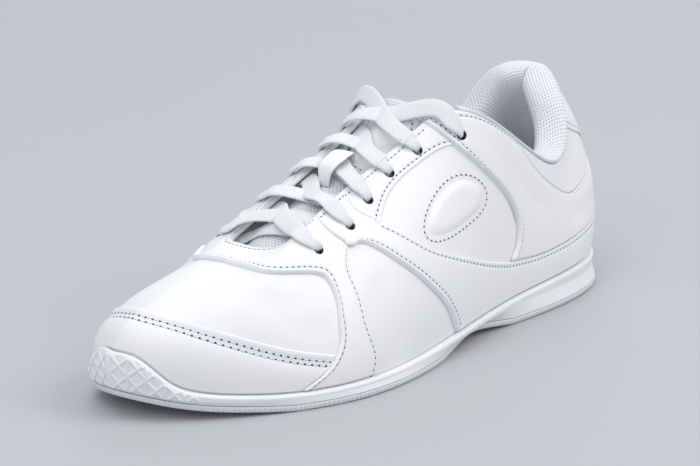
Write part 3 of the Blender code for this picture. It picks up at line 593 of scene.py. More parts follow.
# Lines on the outer side where the panels meet, as (tau, v) points; a v of 0 means the sole's edge
seams = {
    "toeEdge": ((0.740, 0.198), (0.812, 0.274), (0.867, 0.342), (0.913, 0.392), (0.957, 0.425), (1.0, 0.435)),
    "saddleFoot": ((0.783, 0), (0.768, 0.072), (0.752, 0.122), (0.740, 0.198)),
    "saddleRise": (
        (0.740, 0.198), (0.736, 0.260), (0.737, 0.335), (0.739, 0.438), (0.747, 0.527), (0.758, 0.590),
        (0.782, 0.637), (0.827, 0.684), (0.890, 0.757), (0.950, 0.830), (1.0, 0.858),
    ),
    "innerRise": (
        (0.740, 0.198), (0.736, 0.260), (0.737, 0.335), (0.739, 0.438), (0.747, 0.527), (0.760, 0.600),
        (0.788, 0.670), (0.835, 0.745), (0.890, 0.815), (0.950, 0.850), (1.0, 0.858),
    ),
    "saddleBack": (
        (0.680, 0), (0.676, 0.118), (0.685, 0.230), (0.696, 0.350),
        (0.705, 0.475), (0.715, 0.562), (0.720, 0.630), (0.716, 0.703),
    ),
    "saddleHead": ((0.716, 0.703), (0.746, 0.813), (0.785, 1.0)),
    "bandLow": (
        (0.716, 0.703), (0.694, 0.672), (0.667, 0.598), (0.640, 0.512),
        (0.608, 0.415), (0.573, 0.302), (0.537, 0.165), (0.515, 0),
    ),
    "bandHead": ((0.722, 1.0), (0.711, 0.955), (0.703, 0.880), (0.690, 0.812), (0.658, 0.705)),
    "bandMid": (
        (0.658, 0.705), (0.613, 0.575), (0.566, 0.460), (0.514, 0.378), (0.439, 0.297), (0.382, 0.266),
    ),
    "bandHeel": (
        (0.382, 0.266), (0.320, 0.275), (0.259, 0.310), (0.191, 0.330), (0.120, 0.325), (0.0, 0.310),
    ),
    "eyestayArc": (
        (0.658, 0.705), (0.641, 0.795), (0.617, 0.830), (0.579, 0.835), (0.538, 0.838), (0.496, 0.840),
    ),
    "quarterHead": ((0.560, 1.0), (0.525, 0.907), (0.496, 0.840)),
    "quarterFront": (
        (0.496, 0.840), (0.448, 0.743), (0.414, 0.680), (0.386, 0.613),
        (0.368, 0.527), (0.364, 0.455), (0.370, 0.348), (0.382, 0.266),
    ),
    "cuffLine": (
        (0.350, 1.0), (0.324, 0.920), (0.272, 0.835), (0.230, 0.745), (0.207, 0.695),
        (0.182, 0.672), (0.140, 0.662), (0.100, 0.672), (0.050, 0.692), (0.0, 0.700),
    ),
    "heelTab": (
        (0.140, 1.0), (0.118, 0.900), (0.094, 0.805), (0.074, 0.720),
        (0.058, 0.620), (0.046, 0.500), (0.036, 0.400),
    ),
    "aboveSole": 0.5,  # millimetres between a panel's foot and the sole's edge
}


def lengthsOf(points):
    # running length along a line of points, from 0
    return np.concatenate([[0], np.cumsum(np.linalg.norm(np.diff(points, axis=0), axis=-1))])


def evenly(fine, count):
    # the first count of count + 1 places at even steps of real length on the last
    real = lengthsOf(lastPoint(fine[:, 0], fine[:, 1]))
    at = np.linspace(0, real[-1], count + 1)[:-1]
    return np.stack([np.interp(at, real, fine[:, c]) for c in (0, 1)], -1)


def trace(points, count, back=False):
    # a seam line as a spline through its points
    points = np.array(points[::-1] if back else points, float)
    atSole = points[:, 1] == 0
    points[atSole, 1] = soleV(points[atSole, 0], seams["aboveSole"])
    places = lengthsOf(points * metric)
    return evenly(splineThrough(places, points, np.linspace(0, places[-1], 500)), count)


def wholeTrace(points, count, back=False):
    # a seam line with its last point too
    return np.concatenate([trace(points, count, back), [points[0 if back else -1]]])


def soleRun(start, stop, count):
    # along the sole's edge
    tau = np.linspace(start, stop, 500)
    return evenly(np.stack([tau, soleV(tau, seams["aboveSole"])], -1), count)


def topRun(start, stop, count):
    # along the topline
    tau = np.linspace(start, stop, 500)
    return evenly(np.stack([tau, np.ones(500)], -1), count)


def bothSides(runs, about, middle, inner=None):
    # runs from one side to the middle of the shoe, then the mirror image of these or of the inner runs
    half, other = np.concatenate(runs), np.concatenate(inner or runs)
    return np.concatenate([half, [middle], other[::-1] * (-1, 1) + (2 * about, 0)])


edgeForms = {
    "rollRadius": 1.25,
    "rollHeight": 0.85,
    "rollStitch": 3.3,  # stitches' distance from a rolled edge
    "cutRadius": 0.7,
    "cutStitch": 2.2,
    "toeStitches": (3.1, 5.1),
    "toeHollow": (0.5, 3.0),  # depth and half width of the hollow along the toe cap's second row
    "channel": 0.32,  # depth that the thread pulls the leather down
    "foot": 0.22,  # lowest height at an edge
    "under": 0.10,  # height of the panels' underside
    "puff": 0.40,  # how much a panel rises away from its seams
    "puffReach": 6.0,
}


def quarterRound(d, radius):
    # 1 at the edge, 0 past the radius, along a quarter circle
    return 1 - np.sqrt(1 - np.clip(1 - d / radius, 0, 1) ** 2)


def edgeLift(kind, d, height):
    # change of height at distance d from an edge: rounded edge, stitch channels, rolled bead
    form = edgeForms
    drop = height - form["foot"]

    def channel(at, width=0.8):  # a bell pressed in along a row of stitches
        return -form["channel"] * np.exp(-(((d - at) / width) ** 2))

    soft = -form["puff"] * np.exp(-d / form["puffReach"])
    if kind == "rolled":
        r = form["rollRadius"]
        bead = form["rollHeight"] * np.sqrt(np.clip(1 - ((d - r) / r) ** 2, 0, 1))
        return bead - drop * quarterRound(d, r) + channel(form["rollStitch"]) + soft
    if kind == "double":
        first, second = form["toeStitches"]
        depth, width = form["toeHollow"]
        hollow = -depth * np.exp(-(((d - second) / width) ** 2))
        return hollow - drop * quarterRound(d, form["cutRadius"]) + channel(first) + channel(second) + soft
    if kind == "cut":
        return channel(form["cutStitch"]) - drop * quarterRound(d, form["cutRadius"]) + soft
    return -drop * quarterRound(d, form["cutRadius"]) + 0.5 * soft


def kindsAlong(kinds, count, mirrored):
    # share of each edge kind at each column; kinds are (kind, until) by the share of the way to the middle
    blend = 0.012  # share over which one kind turns into the next
    share = np.arange(count) / (count - 1)
    if mirrored:
        share = 1 - np.abs(2 * share - 1)
    start = -1.0
    for kind, until in kinds:
        low = np.clip((share - start) / blend + 0.5, 0, 1)
        high = np.clip((until - share) / blend + 0.5, 0, 1) if until < 1 else 1
        yield kind, low * high
        start = until


def rowsAcross(width, fine=15, middle=14):
    # rows close together by both edges, and even between; width in millimetres for each column
    zone = 6.5  # close rows by an edge
    full = 17  # width from which they all fit
    least = 0.012  # share of the width at the second row
    reach = zone * np.minimum(1, width / full) / width
    near = np.linspace(0, 1, fine) ** 1.35
    first = least + near[None, :] * (reach[:, None] - least * (near[None, :] > 0))
    first[:, 0] = 0.15 / np.maximum(width, 0.6)
    first = np.maximum.accumulate(first, axis=1)
    between = np.linspace(0, 1, middle + 2)[None, 1:-1]
    core = first[:, -1:] + between * (1 - 2 * first[:, -1:])
    return np.concatenate([first, core, 1 - first[:, ::-1]], 1)


def sewPanel(name, low, high, start, end, kinds, height, mirrored=True, base=0.0):
    # a patch of the last between four seam lines, raised by its height and its edges' forms, closed below;
    # an edge has one kind all along, or several as kindsAlong reads them
    count = len(low)
    width = np.linalg.norm(lastPoint(low[:, 0], low[:, 1]) - lastPoint(high[:, 0], high[:, 1]), axis=-1)
    t = rowsAcross(np.maximum(width, 0.6))
    s = np.linspace(0, 1, count)[:, None]

    def bow(line):
        # how far an end line bows out from the straight line between its ends
        if line is None:
            return 0.0
        places = np.linspace(0, 1, len(line))
        curve = np.stack([np.interp(t, places, line[:, c]) for c in (0, 1)], -1)
        return curve - line[0] * (1 - t[..., None]) - line[-1] * t[..., None]

    spot = low[:, None] * (1 - t[..., None]) + high[:, None] * t[..., None]
    spot = spot + (1 - s)[..., None] * bow(start) + s[..., None] * bow(end)
    flat = lastPoint(spot[..., 0], spot[..., 1])
    across, along = np.zeros(t.shape), np.zeros(t.shape)
    across[:, 1:] = np.cumsum(np.linalg.norm(np.diff(flat, axis=1), axis=-1), 1)
    along[1:] = np.cumsum(np.linalg.norm(np.diff(flat, axis=0), axis=-1), 0)
    reach = {"low": across, "high": across[:, -1:] - across, "start": along, "end": along[-1:] - along}
    lift = np.full(across.shape, float(height))
    for edge, listed in kinds.items():
        if isinstance(listed, str):
            lift += edgeLift(listed, reach[edge], height)
        else:
            for kind, share in kindsAlong(listed, count, mirrored):
                lift += share[:, None] * edgeLift(kind, reach[edge], height)
    lift = np.maximum(lift, edgeForms["foot"]) + base
    top = skin(spot[..., 0], spot[..., 1], lift)
    picked = np.unique(np.append(np.arange(0, t.shape[1], 3), t.shape[1] - 1))[::-1]
    under = skin(spot[:, picked, 0], spot[:, picked, 1], edgeForms["under"] + base)
    piece = loftPiece(name + "_sewn", np.concatenate([top, under], 1), materials=[panelLeather])
    finishPiece(piece, "panels", name)
    return {"piece": piece, "top": top, "normal": lastNormal(spot[..., 0], spot[..., 1]), "reach": reach}


panelForm = {
    "heights": {
        "toe_cap": 1.25,
        "saddle": 1.3,
        "heel_band": 1.45,
        "eyestay_outer": 1.25,
        "eyestay_inner": 1.25,
        "quarter": 1.45,
        "cuff": 1.15,
        "heel_tab": 1.0,
    },
    "tabBase": 1.3,  # the heel tab lies on the cuff and the quarter
    "tabArc": 0.06,  # how far its foot is rounded, as a share
}


def sewPanels(form):
    # every panel between its seam lines; half counts on the long edges match from one edge to the other
    s = seams
    heel, toe = 0, 1
    flip, overToe = (-1, 1), (2, 0)
    bandLow = (("tucked", 0.135), ("rolled", 0.497), ("tucked", 1))
    bandHigh = (("tucked", 0.13), ("cut", 1))
    panels = {}

    def sew(name, low, high, start, end, kinds, mirrored=True, base=0.0):
        # one panel; its edges' kinds come in the order low, high, start, end
        kinds = dict(zip(("low", "high", "start", "end"), kinds))
        panels[name] = sewPanel(name, low, high, start, end, kinds, form["heights"][name], mirrored, base)

    def atSole(tau):  # a place on the sole's edge
        return tau, soleV(tau, s["aboveSole"])[0]

    foot = wholeTrace(s["saddleFoot"], 40)
    low = bothSides([soleRun(s["saddleFoot"][0][0], 1, 130)], toe, atSole(1))
    high = bothSides([trace(s["toeEdge"], 130)], toe, s["toeEdge"][-1])
    sew("toe_cap", low, high, foot, foot * flip + overToe, ("tucked", "double", "tucked", "tucked"))
    foot = soleRun(s["saddleFoot"][0][0], s["saddleBack"][0][0], 40)
    fronts = [[trace(s["saddleFoot"], 26), trace(s[name], 134)] for name in ("saddleRise", "innerRise")]
    low = bothSides(fronts[0], toe, s["saddleRise"][-1], fronts[1])
    head = topRun(s["saddleHead"][-1][0], 1, 54)
    high = bothSides([trace(s["saddleBack"], 74), trace(s["saddleHead"], 32), head], toe, (1, 1))
    sew("saddle", low, high, foot, foot * flip + overToe, ("rolled", "cut", "tucked", "tucked"))
    heelFoot = soleRun(s["bandLow"][-1][0], 0, 120)
    low = bothSides([trace(s["saddleHead"], 34, True), trace(s["bandLow"], 86), heelFoot], heel, atSole(0))
    runs = [trace(s[name], count) for name, count in (("bandHead", 34), ("bandMid", 106), ("bandHeel", 100))]
    high = bothSides(runs, heel, s["bandHeel"][-1])
    sew("heel_band", low, high, None, None, (bandLow, bandHigh, "cut", "cut"))
    arc = wholeTrace(s["eyestayArc"], 90, True)
    edge = np.concatenate([topRun(s["quarterHead"][0][0], s["bandHead"][0][0], 90), [s["bandHead"][0]]])
    back, front = wholeTrace(s["quarterHead"], 40, True), wholeTrace(s["bandHead"], 40, True)
    for name, side in (("eyestay_outer", (1, 1)), ("eyestay_inner", flip)):
        sew(name, arc * side, edge * side, back * side, front * side, ("cut", "cut", "tucked", "cut"), False)
    rise = np.concatenate([trace(s["quarterFront"], 60, True), wholeTrace(s["quarterHead"], 30, True)])
    low = bothSides([trace(s["bandHeel"], 170)], heel, s["bandHeel"][-1])
    runs = [topRun(s["quarterHead"][0][0], s["cuffLine"][0][0], 60), trace(s["cuffLine"], 110)]
    high = bothSides(runs, heel, s["cuffLine"][-1])
    sew("quarter", low, high, rise, rise * flip, ("tucked", "cut", "rolled", "rolled"))
    low = bothSides([trace(s["cuffLine"], 120)], heel, s["cuffLine"][-1])
    high = bothSides([topRun(s["cuffLine"][0][0], 0, 120)], heel, (0, 1))
    sew("cuff", low, high, None, None, ("tucked", "tucked"))
    side = wholeTrace(s["heelTab"], 110)
    across = np.linspace(1, -1, 41)[:, None]
    head = side[0] * np.concatenate([across, 1 + 0 * across], 1)
    foot = side[-1] * np.concatenate([across, 1 - form["tabArc"] * (1 - across**2)], 1)
    sew("heel_tab", side, side * flip, head, foot, ("cut", "cut", "tucked", "cut"), False, form["tabBase"])
    return panels


panels = sewPanels(panelForm)


upperForm = {"columns": 420, "outer": 46, "inner": 26, "rim": 4}


def buildUpper(form):
    # the last's own surface, over a rounded topline and down inside at the wall's thickness
    tau = np.linspace(-1, 1, form["columns"], endpoint=False)
    turn = np.linspace(0, math.pi, form["rim"] + 2)[1:-1]
    half = shoe["wall"] / 2
    lift = unit(lastPoint(tau, 1.0) - lastPoint(tau, 0.98))
    rows = [skin(tau, v, 0) for v in np.linspace(0, 1, form["outer"])]
    rows += [skin(tau, 1.0, half * (math.cos(a) - 1)) + lift * half * 0.6 * math.sin(a) for a in turn]
    rows += [skin(tau, v, -shoe["wall"]) for v in np.linspace(1, 0, form["inner"])]
    rings = np.stack(rows, 0)
    stack, count = rings.shape[:2]
    lengthAround = np.append(lengthsOf(rings[form["outer"] - 1]), 0)
    lengthAround[-1] = lengthAround[-2] + 1.5
    lengthUp = np.append(lengthsOf(rings[:, count // 4]), 0)
    uv = np.stack(np.broadcast_arrays(lengthAround[None, :], lengthUp[:, None]), -1)
    slots = np.repeat(np.arange(stack) >= form["outer"] + form["rim"], count).astype(int)
    piece = loftPiece("upper_skin", rings, True, uv, [leather, meshCloth], slots)
    return finishPiece(piece, "upper", "upper")


upper = buildUpper(upperForm)


def weld(piece):
    # joins the points that fall together, as at the two ends of a sole
    mesh = bmesh.new()
    mesh.from_mesh(piece.data)
    bmesh.ops.remove_doubles(mesh, verts=mesh.verts, dist=2e-6)
    mesh.to_mesh(piece.data)
    mesh.free()
    return piece


def wholeTurn(half):
    # half a round of tau values from heel to toe, carried on over the inner side, from the toe once round
    return np.concatenate([-half[:0:-1], half[:-1]])


def stripQuads(first, count, upwards):
    # quads that close a ring across the shoe, from each place to its mirror image
    i = np.arange(count // 2)
    quads = first + np.stack([i, i + 1, (count - i - 1) % count, (count - i) % count], -1)
    return quads if upwards else quads[:, ::-1]


def planAt(tau, distance, height):
    # the foot plan moved outwards, at a height
    plan, normal = footPlan(tau)
    plan = plan + normal * np.broadcast_to(distance, tau.shape)[:, None]
    plan[:, 1] += swing(plan[:, 0])
    return np.concatenate([plan, np.broadcast_to(height, tau.shape)[:, None]], -1)


def closedRound(name, rings, material, mapped=False):
    # rings round the sole joined by quads, the first and last closed across, poles welded; mapped from above
    rings = np.asarray(rings)
    stack, count = rings.shape[:2]
    covers = [stripQuads(0, count, False), stripQuads((stack - 1) * count, count, True)]
    quads = np.concatenate([gridQuads(stack, count)[0], *covers])
    flat = rings.reshape(-1, 3)
    uv = flat[quads][..., :2] if mapped else None
    return weld(addMesh(name, flat, quads, (), uv, [material]))


midsoleForm = {
    "lip": 2.8,  # how far the lip's outside stands off the last
    "seat": 0.4,  # how far its inside does
    "sunk": 0.3,  # how far its floor lies under the footbed
    "round": 1.0,  # radius of the lip's top edge
    "tread": 2.9,  # from the ground up to the cup
    "lattice": 7.0,  # between the bumper's uprights
    "latticeFrom": (0.900, 0.922),  # where the bumper's ribs fade in, as tau
    "rib": 0.52,  # half width of the ribs
    "ribHeight": 0.6,
}


def latticeHeight(along, up, form):
    # uprights at every pitch and slanting ribs both ways that cross on them, each a bell across its width
    pitch = form["lattice"]

    def away(x, step):  # distance to the nearest of evenly stepped lines
        return np.abs((x / step + 0.5) % 1 - 0.5) * step

    nearest = np.minimum(away(along, pitch), away(along + up, pitch) / math.sqrt(2))
    nearest = np.minimum(nearest, away(along - up, pitch) / math.sqrt(2))
    return form["ribHeight"] * np.exp(-((nearest / form["rib"]) ** 4))


def buildMidsole(form):
    # a cup: up its outside from the tread, over a rounded lip, down inside and across the floor
    half = np.concatenate([np.linspace(0, 0.87, 150, endpoint=False), np.linspace(0.87, 1, 200)])
    tau = wholeTurn(half)
    ground = np.maximum(around(soleGround, "ground", tau), 0)
    low = planAt(tau, around(soleBase, "base", tau), ground + form["tread"])
    level = offLast(tau, 0.0, form["lip"])
    top = soleV(tau, -form["round"])
    rows = [low * (1 - w) + level * w for w in np.linspace(0, 1, 11)[:-1]]
    rows += [offLast(tau, top * w, form["lip"]) for w in np.linspace(0, 1, 38)]
    wall = np.stack(rows)
    run = lengthsOf(low)
    along = np.where(tau < 0, run, run - run[-1])
    up = wall[..., 2] - wall[:1, :, 2]
    start, full = form["latticeFrom"]
    fade = np.clip((np.abs(tau) - start) / (full - start), 0, 1) ** 0.5
    room = np.clip(np.minimum(up, wall[-1:, :, 2] - wall[..., 2] + 0.5) / 0.5, 0, 1)
    ribs = latticeHeight(along[None], up, form) * fade * room
    wall = wall + lastNormal(tau, 0.05)[None] * ribs[..., None]
    rim = []
    for a in np.linspace(0, math.pi / 2, 8)[1:]:
        v = soleV(tau, -form["round"] * (1 - math.sin(a)))
        rim.append(offLast(tau, v, form["lip"] - form["round"] * (1 - math.cos(a))))
    edge = soleV(tau)
    rim += [offLast(tau, edge * w, form["seat"]) for w in (1, 0.75, 0.5, 0.25)]
    floor = offLast(tau, 0.0, form["seat"])
    floor[:, 2] = around(soleBed, "bed", tau) - form["sunk"]
    piece = closedRound("midsole_cup", np.concatenate([wall, rim, [floor]]), midsoleRubber)
    return finishPiece(piece, "midsole", "midsole")


outsoleForm = {
    "thick": 2.6,
    "inset": 1.2,  # of the tread's lower edge
    "tooth": 0.35,  # depth of the notches round the side
    "toothPitch": 2.0,
    "grooves": (150, 165, 180, 195, 210),  # flex grooves across the forefoot
    "grooveWidth": 2.5,
    "grooveDepth": 1.3,
    "zigzagPitch": 5.0,
    "zigzagDepth": 0.6,
    "margin": 5.0,  # plain border of the tread
    "along": 700,  # places from heel to toe, and across
    "across": 72,
    "side": (  # rings up the side: height as a share of thick, and how much of the notch is there
        (0.35, 1),
        (0.62, 1),
        (0.7, 0.1),
    ),
}


def treadDepth(x, y, border, form):
    # straight flex grooves, and a zigzag of fine ones between them inside the border
    distance = np.min(np.abs(x[..., None] - np.array(form["grooves"], float)), -1)
    flex = form["grooveDepth"] * np.clip((form["grooveWidth"] / 2 + 0.25 - distance) / 0.5, 0, 1)
    zig = 5.0 * np.abs((y / 10) % 2 - 1)
    wave = np.sin(2 * math.pi * (x + zig) / form["zigzagPitch"])
    inside = np.clip((border - form["margin"]) / 0.6, 0, 1)
    return np.maximum(flex, form["zigzagDepth"] * np.clip(wave * 1.6 - 0.2, 0, 1) * inside)


def buildOutsole(form):
    # a sheet with a notched side; its underside is a grid of lines across, pressed in by the tread's grooves
    fine = np.linspace(0, 1, 3000)
    run = lengthsOf(planAt(fine, 2.0, 0.0))
    half = np.interp(np.linspace(0, run[-1], form["along"]), run, fine)
    tau = wholeTurn(half)
    ground = np.maximum(around(soleGround, "ground", tau), 0)
    base = around(soleBase, "base", tau)
    side = lengthsOf(planAt(tau, base, ground))
    wave = np.cos(2 * math.pi * side / form["toothPitch"])
    tooth = form["tooth"] * (0.5 + 0.5 * np.clip(2.2 * wave, -1, 1))
    rings = [planAt(tau, base - form["inset"], ground), planAt(tau, base - 0.5 - 0.6 * tooth, ground + 0.35)]
    for height, share in form["side"]:
        rings.append(planAt(tau, base + 0.2 - tooth * share, ground + form["thick"] * height))
    rings.append(planAt(tau, base, ground + form["thick"]))
    rings = np.stack(rings)
    stack, count = rings.shape[:2]
    i = np.arange(count // 2 + 1)
    left, right = rings[0, i], rings[0, (count - i) % count]
    t = np.linspace(0, 1, form["across"])[None, :, None]
    bottom = left[:, None] * (1 - t) + right[:, None] * t
    wide = np.linalg.norm(left - right, axis=-1)[:, None]
    border = np.minimum(t[..., 0], 1 - t[..., 0]) * wide
    border = np.minimum(border, np.minimum(i, count // 2 - i)[:, None] * run[-1] / form["along"])
    bottom[..., 2] += treadDepth(bottom[..., 0], bottom[..., 1], border, form) * np.clip(border / 0.4, 0, 1)
    walls = gridQuads(stack, count)[0]
    under = gridQuads(count // 2 + 1, form["across"], ring=False)[0] + stack * count
    cover = stripQuads((stack - 1) * count, count, True)
    points = np.concatenate([rings.reshape(-1, 3), bottom.reshape(-1, 3)])
    quads = np.concatenate([walls, under[:, ::-1], cover])
    piece = weld(addMesh("outsole_tread", points, quads, materials=[outsoleRubber]))
    return finishPiece(piece, "outsole", "outsole")


insoleForm = {"inside": -2.3, "thick": 3.5, "cup": 0.9, "round": 1.2}


def buildInsole(form):
    # a board inside the upper: straight side, rounded rim, then ever smaller rings to its hollow middle line
    tau = wholeTurn(np.linspace(0, 1, 160))
    outline = offLast(tau, 0.0, form["inside"])
    bed = around(soleBed, "bed", tau)
    middle = outline.copy()
    middle[:, 1] = (outline[:, 1] + outline[(len(tau) - np.arange(len(tau))) % len(tau), 1]) / 2
    thick, rim = form["thick"], form["round"]
    levels = [(0, 0), (0, 1.2), (0, thick - rim)]
    for a in np.linspace(0, math.pi / 2, 6)[1:]:
        levels.append((0.05 * (1 - math.cos(a)), thick - rim * (1 - math.sin(a))))
    levels += [(share, thick - form["cup"] * (1 - (1 - share) ** 2)) for share in np.linspace(0.1, 0.98, 14)]
    rings = []
    for share, height in levels:
        ring = outline * (1 - share) + middle * share
        ring[:, 2] = bed + height
        rings.append(ring)
    return finishPiece(closedRound("insole_board", rings, sockLining, True), "insole", "insole")


buildMidsole(midsoleForm)
buildOutsole(outsoleForm)
buildInsole(insoleForm)


# Ridge of the tongue in millimetres, half its width, how far its sides droop, its thickness,
# and how far it lies off the middle, to the outer side
tongueShape = {
    "columns": ("x", "z", "half", "droop", "thick", "shift"),
    "rows": (
        (206, 42.4, 13, 4.0, 2.4, 3.0),
        (196, 46.2, 15, 6.0, 2.6, 3.0),
        (185, 53.2, 18, 8.0, 3.0, 2.5),
        (170, 60.8, 19, 10.5, 3.5, 1.0),
        (155, 66.8, 18, 13.5, 4.0, 0.0),
        (140, 72.7, 18, 15.0, 4.5, 0.0),
        (127, 79.6, 17, 15.0, 5.0, 0.0),
        (118, 87.0, 15, 10.5, 5.5, 0.0),
        (113, 94.0, 15, 7.0, 4.5, 0.0),
    ),
    "corner": 5.0,  # radius of its top corners
    "patchFrom": 0.655,  # where the smooth patch starts and ends, as a share of the length
    "patchTo": 0.955,
    "patchWidth": 0.80,
    "patchHeight": 0.75,
}


def tongueRidge(x):
    # height of the tongue's ridge above a place along the shoe
    rows = np.array(tongueShape["rows"], float)[::-1]
    return splineThrough(rows[:, 0], rows[:, 1], x)


def tongueLine(share):
    # the tongue's table as splines over its own length: values, up direction and length in millimetres
    rows = np.array(tongueShape["rows"], float)
    places = lengthsOf(rows[:, :2])
    at = np.asarray(share, float) * places[-1]
    values = splineThrough(places, rows, at)
    way = unit(splineThrough(places, rows[:, :2], at + 0.05) - splineThrough(places, rows[:, :2], at - 0.05))
    up = np.stack([way[:, 1], np.zeros(len(way)), -way[:, 0]], -1)
    return values, up, at, places[-1]


def tongueTop(share, u, lift):
    # a point on the tongue's upper side: u from -1 to 1 across, drooping as a cosine, raised by lift
    values, up, at, total = tongueLine(share)
    x, z, half, droop = (values[:, k][:, None] for k in range(4))
    left = np.clip((total - at) / tongueShape["corner"], 0, 1)[:, None]
    half = half * (0.72 + 0.28 * np.sqrt(1 - (1 - left) ** 2))
    drop = droop * (1 - np.cos(u * math.pi / 2)) - lift
    y = u * half + swing(x) + values[:, 5:]
    return np.stack(np.broadcast_arrays(x - up[:, :1] * drop, y, z - up[:, 2:] * drop), -1)


def buildTongue():
    # sections from toe to top: across the padded upper side and back below it, thin at the rim and both ends
    share = np.concatenate([np.linspace(0, 0.94, 130), np.linspace(0.945, 1, 26)])
    values, up, at, total = tongueLine(share)
    turn = np.linspace(-math.pi / 2, math.pi / 2, 41)
    u = np.sin(turn)[None, :]
    thick = values[:, 4][:, None]
    ends = np.clip(np.minimum(at + 0.4, total - at + 0.25) / 3.0, 0, 1)[:, None]
    ends = np.sqrt(1 - (1 - ends) ** 2)
    body = thick * (0.35 + 0.65 * np.cos(u * math.pi / 2)) * np.cos(turn)[None, :] ** 0.35 * ends
    quilt = 0.25 * np.cos(u * math.pi / 2) * np.sin(np.clip((share - 0.66) / 0.3, 0, 1) * math.pi)[:, None]
    sunk = 0.25 * (thick - body).clip(0)
    top = tongueTop(share, u, quilt - sunk)
    under = tongueTop(share, u, -sunk - body - 0.12)
    ring = np.concatenate([top, under[:, -2:0:-1]], 1)
    width = np.concatenate([u[0], 2 - u[0, -2:0:-1]]) * 19.0
    uv = np.stack(np.broadcast_arrays(np.append(width, 57.0)[None, :], at[:, None]), -1)
    piece = loftPiece("tongue_pad", ring, False, uv, [meshCloth])
    return finishPiece(piece, "mesh_fabric", "tongue")


def buildTonguePatch():
    # a smooth sewn-on patch over the upper part of the tongue, with round corners and a pressed-down rim
    shape = tongueShape
    share = np.linspace(shape["patchFrom"], shape["patchTo"], 70)
    values, up, at, total = tongueLine(share)
    u = np.linspace(-1, 1, 61)
    fromEnd = np.minimum(at - at[0], at[-1] - at)
    corner = np.clip(1 - fromEnd / 4.0, 0, 1)
    wide = shape["patchWidth"] * (1 - 0.22 * (1 - np.sqrt(1 - corner**2)))
    across = u[None, :] * wide[:, None]
    rim = np.minimum((1 - np.abs(u))[None, :] * values[:, 2:3] * wide[:, None], fromEnd[:, None])
    lift = shape["patchHeight"] * np.sqrt(1 - (1 - np.clip(rim / 0.7, 0, 1)) ** 2) + 0.12
    lift = lift - 0.22 * np.exp(-(((rim - 1.9) / 0.7) ** 2)) + 0.28 * (1 - np.exp(-rim / 5))
    top = tongueTop(share, across, lift)
    under = tongueTop(share, across[:, ::-3], 0.02)
    ring = np.concatenate([top, under], 1)
    piece = loftPiece("tongue_patch", ring, False, None, [panelLeather])
    finishPiece(piece, "panels")
    low = (1 + u)[None, :] * values[:, 2:3] * wide[:, None]
    start = np.broadcast_to((at - at[0])[:, None], across.shape)
    normal = unit(np.cross(np.gradient(top, axis=0), np.gradient(top, axis=1)))
    normal = normal * np.sign(np.sum(normal * up[:, None], -1, keepdims=True))
    reach = {"low": low, "high": low[:, -1:] - low, "start": start}
    return {"piece": piece, "top": top, "normal": normal, "reach": reach}


collarForm = {
    "columns": ("key", "thick", "over", "out"),  # thickness, height over the topline, lap over it
    "rows": (
        (0, 10, 8.5, 1.4),
        (0.1, 11, 10.0, 1.4),
        (0.2, 10, 5.5, 0.9),
        (0.3, 7, 3.2, 0.0),
        (0.4, 4, 2.8, -0.2),
        (0.48, 2, 2.2, -0.6),
    ),
    "levels": (0.54, 0.70, 0.86),
    "clear": 0.35,  # over the edge of the leather
    "along": 320,  # sections, and corners of each
    "count": 56,
    "endRound": 0.006,  # over which the ends shrink, as tau
}


def buildCollar(form):
    # sections up the inside of the wall, out over the topline and down inside, each a closed spline
    reach = form["rows"][-1][0]
    tau = np.linspace(-reach, reach, form["along"])
    thick, over, out = (around(form, name, tau) for name in form["columns"][1:])
    back = -(shoe["wall"] + 0.25)
    rise = unit(lastPoint(tau, 1.0) - lastPoint(tau, 0.98))
    low, second, third = form["levels"]
    clear = form["clear"]

    def above(height, depth):  # over the topline by a height, off the last by a depth
        return offLast(tau, 1.0, depth) + rise * np.broadcast_to(height, tau.shape)[:, None]

    ring = [offLast(tau, v, back) for v in form["levels"]]
    ring += [above(0.2, back), above(clear, out), above(clear + 0.5 * (over - clear), out + 0.5)]
    ring += [above(over, back - 0.3 * thick), above(0.65 * over, back - 0.85 * thick)]
    for v, depth in ((third, thick), (second, 0.8 * thick), (low, 0.15 * thick + 0.8)):
        ring.append(offLast(tau, v, back - depth))
    ring = np.stack(ring)
    keys = np.arange(-3, len(ring) + 4)
    dense = splineThrough(keys, ring[keys % len(ring)], np.arange(form["count"]) * len(ring) / form["count"])
    ends = np.clip((reach - np.abs(tau)) / form["endRound"], 0.15, 1)[None, :, None] ** 0.5
    centre = dense.mean(0)
    dense = centre + (dense - centre) * ends
    rings = dense.transpose(1, 0, 2)
    along = lengthsOf(lastPoint(tau, 1.0))
    middle = rings[form["along"] // 2]
    girth = lengthsOf(np.concatenate([middle, middle[:1]]))
    uv = np.stack(np.broadcast_arrays(along[:, None], girth[None, :]), -1)
    piece = loftPiece("collar_roll", rings, False, uv, [meshCloth])
    return finishPiece(piece, "mesh_fabric", "collar_pad")


buildTongue()
tonguePatch = buildTonguePatch()
buildCollar(collarForm)


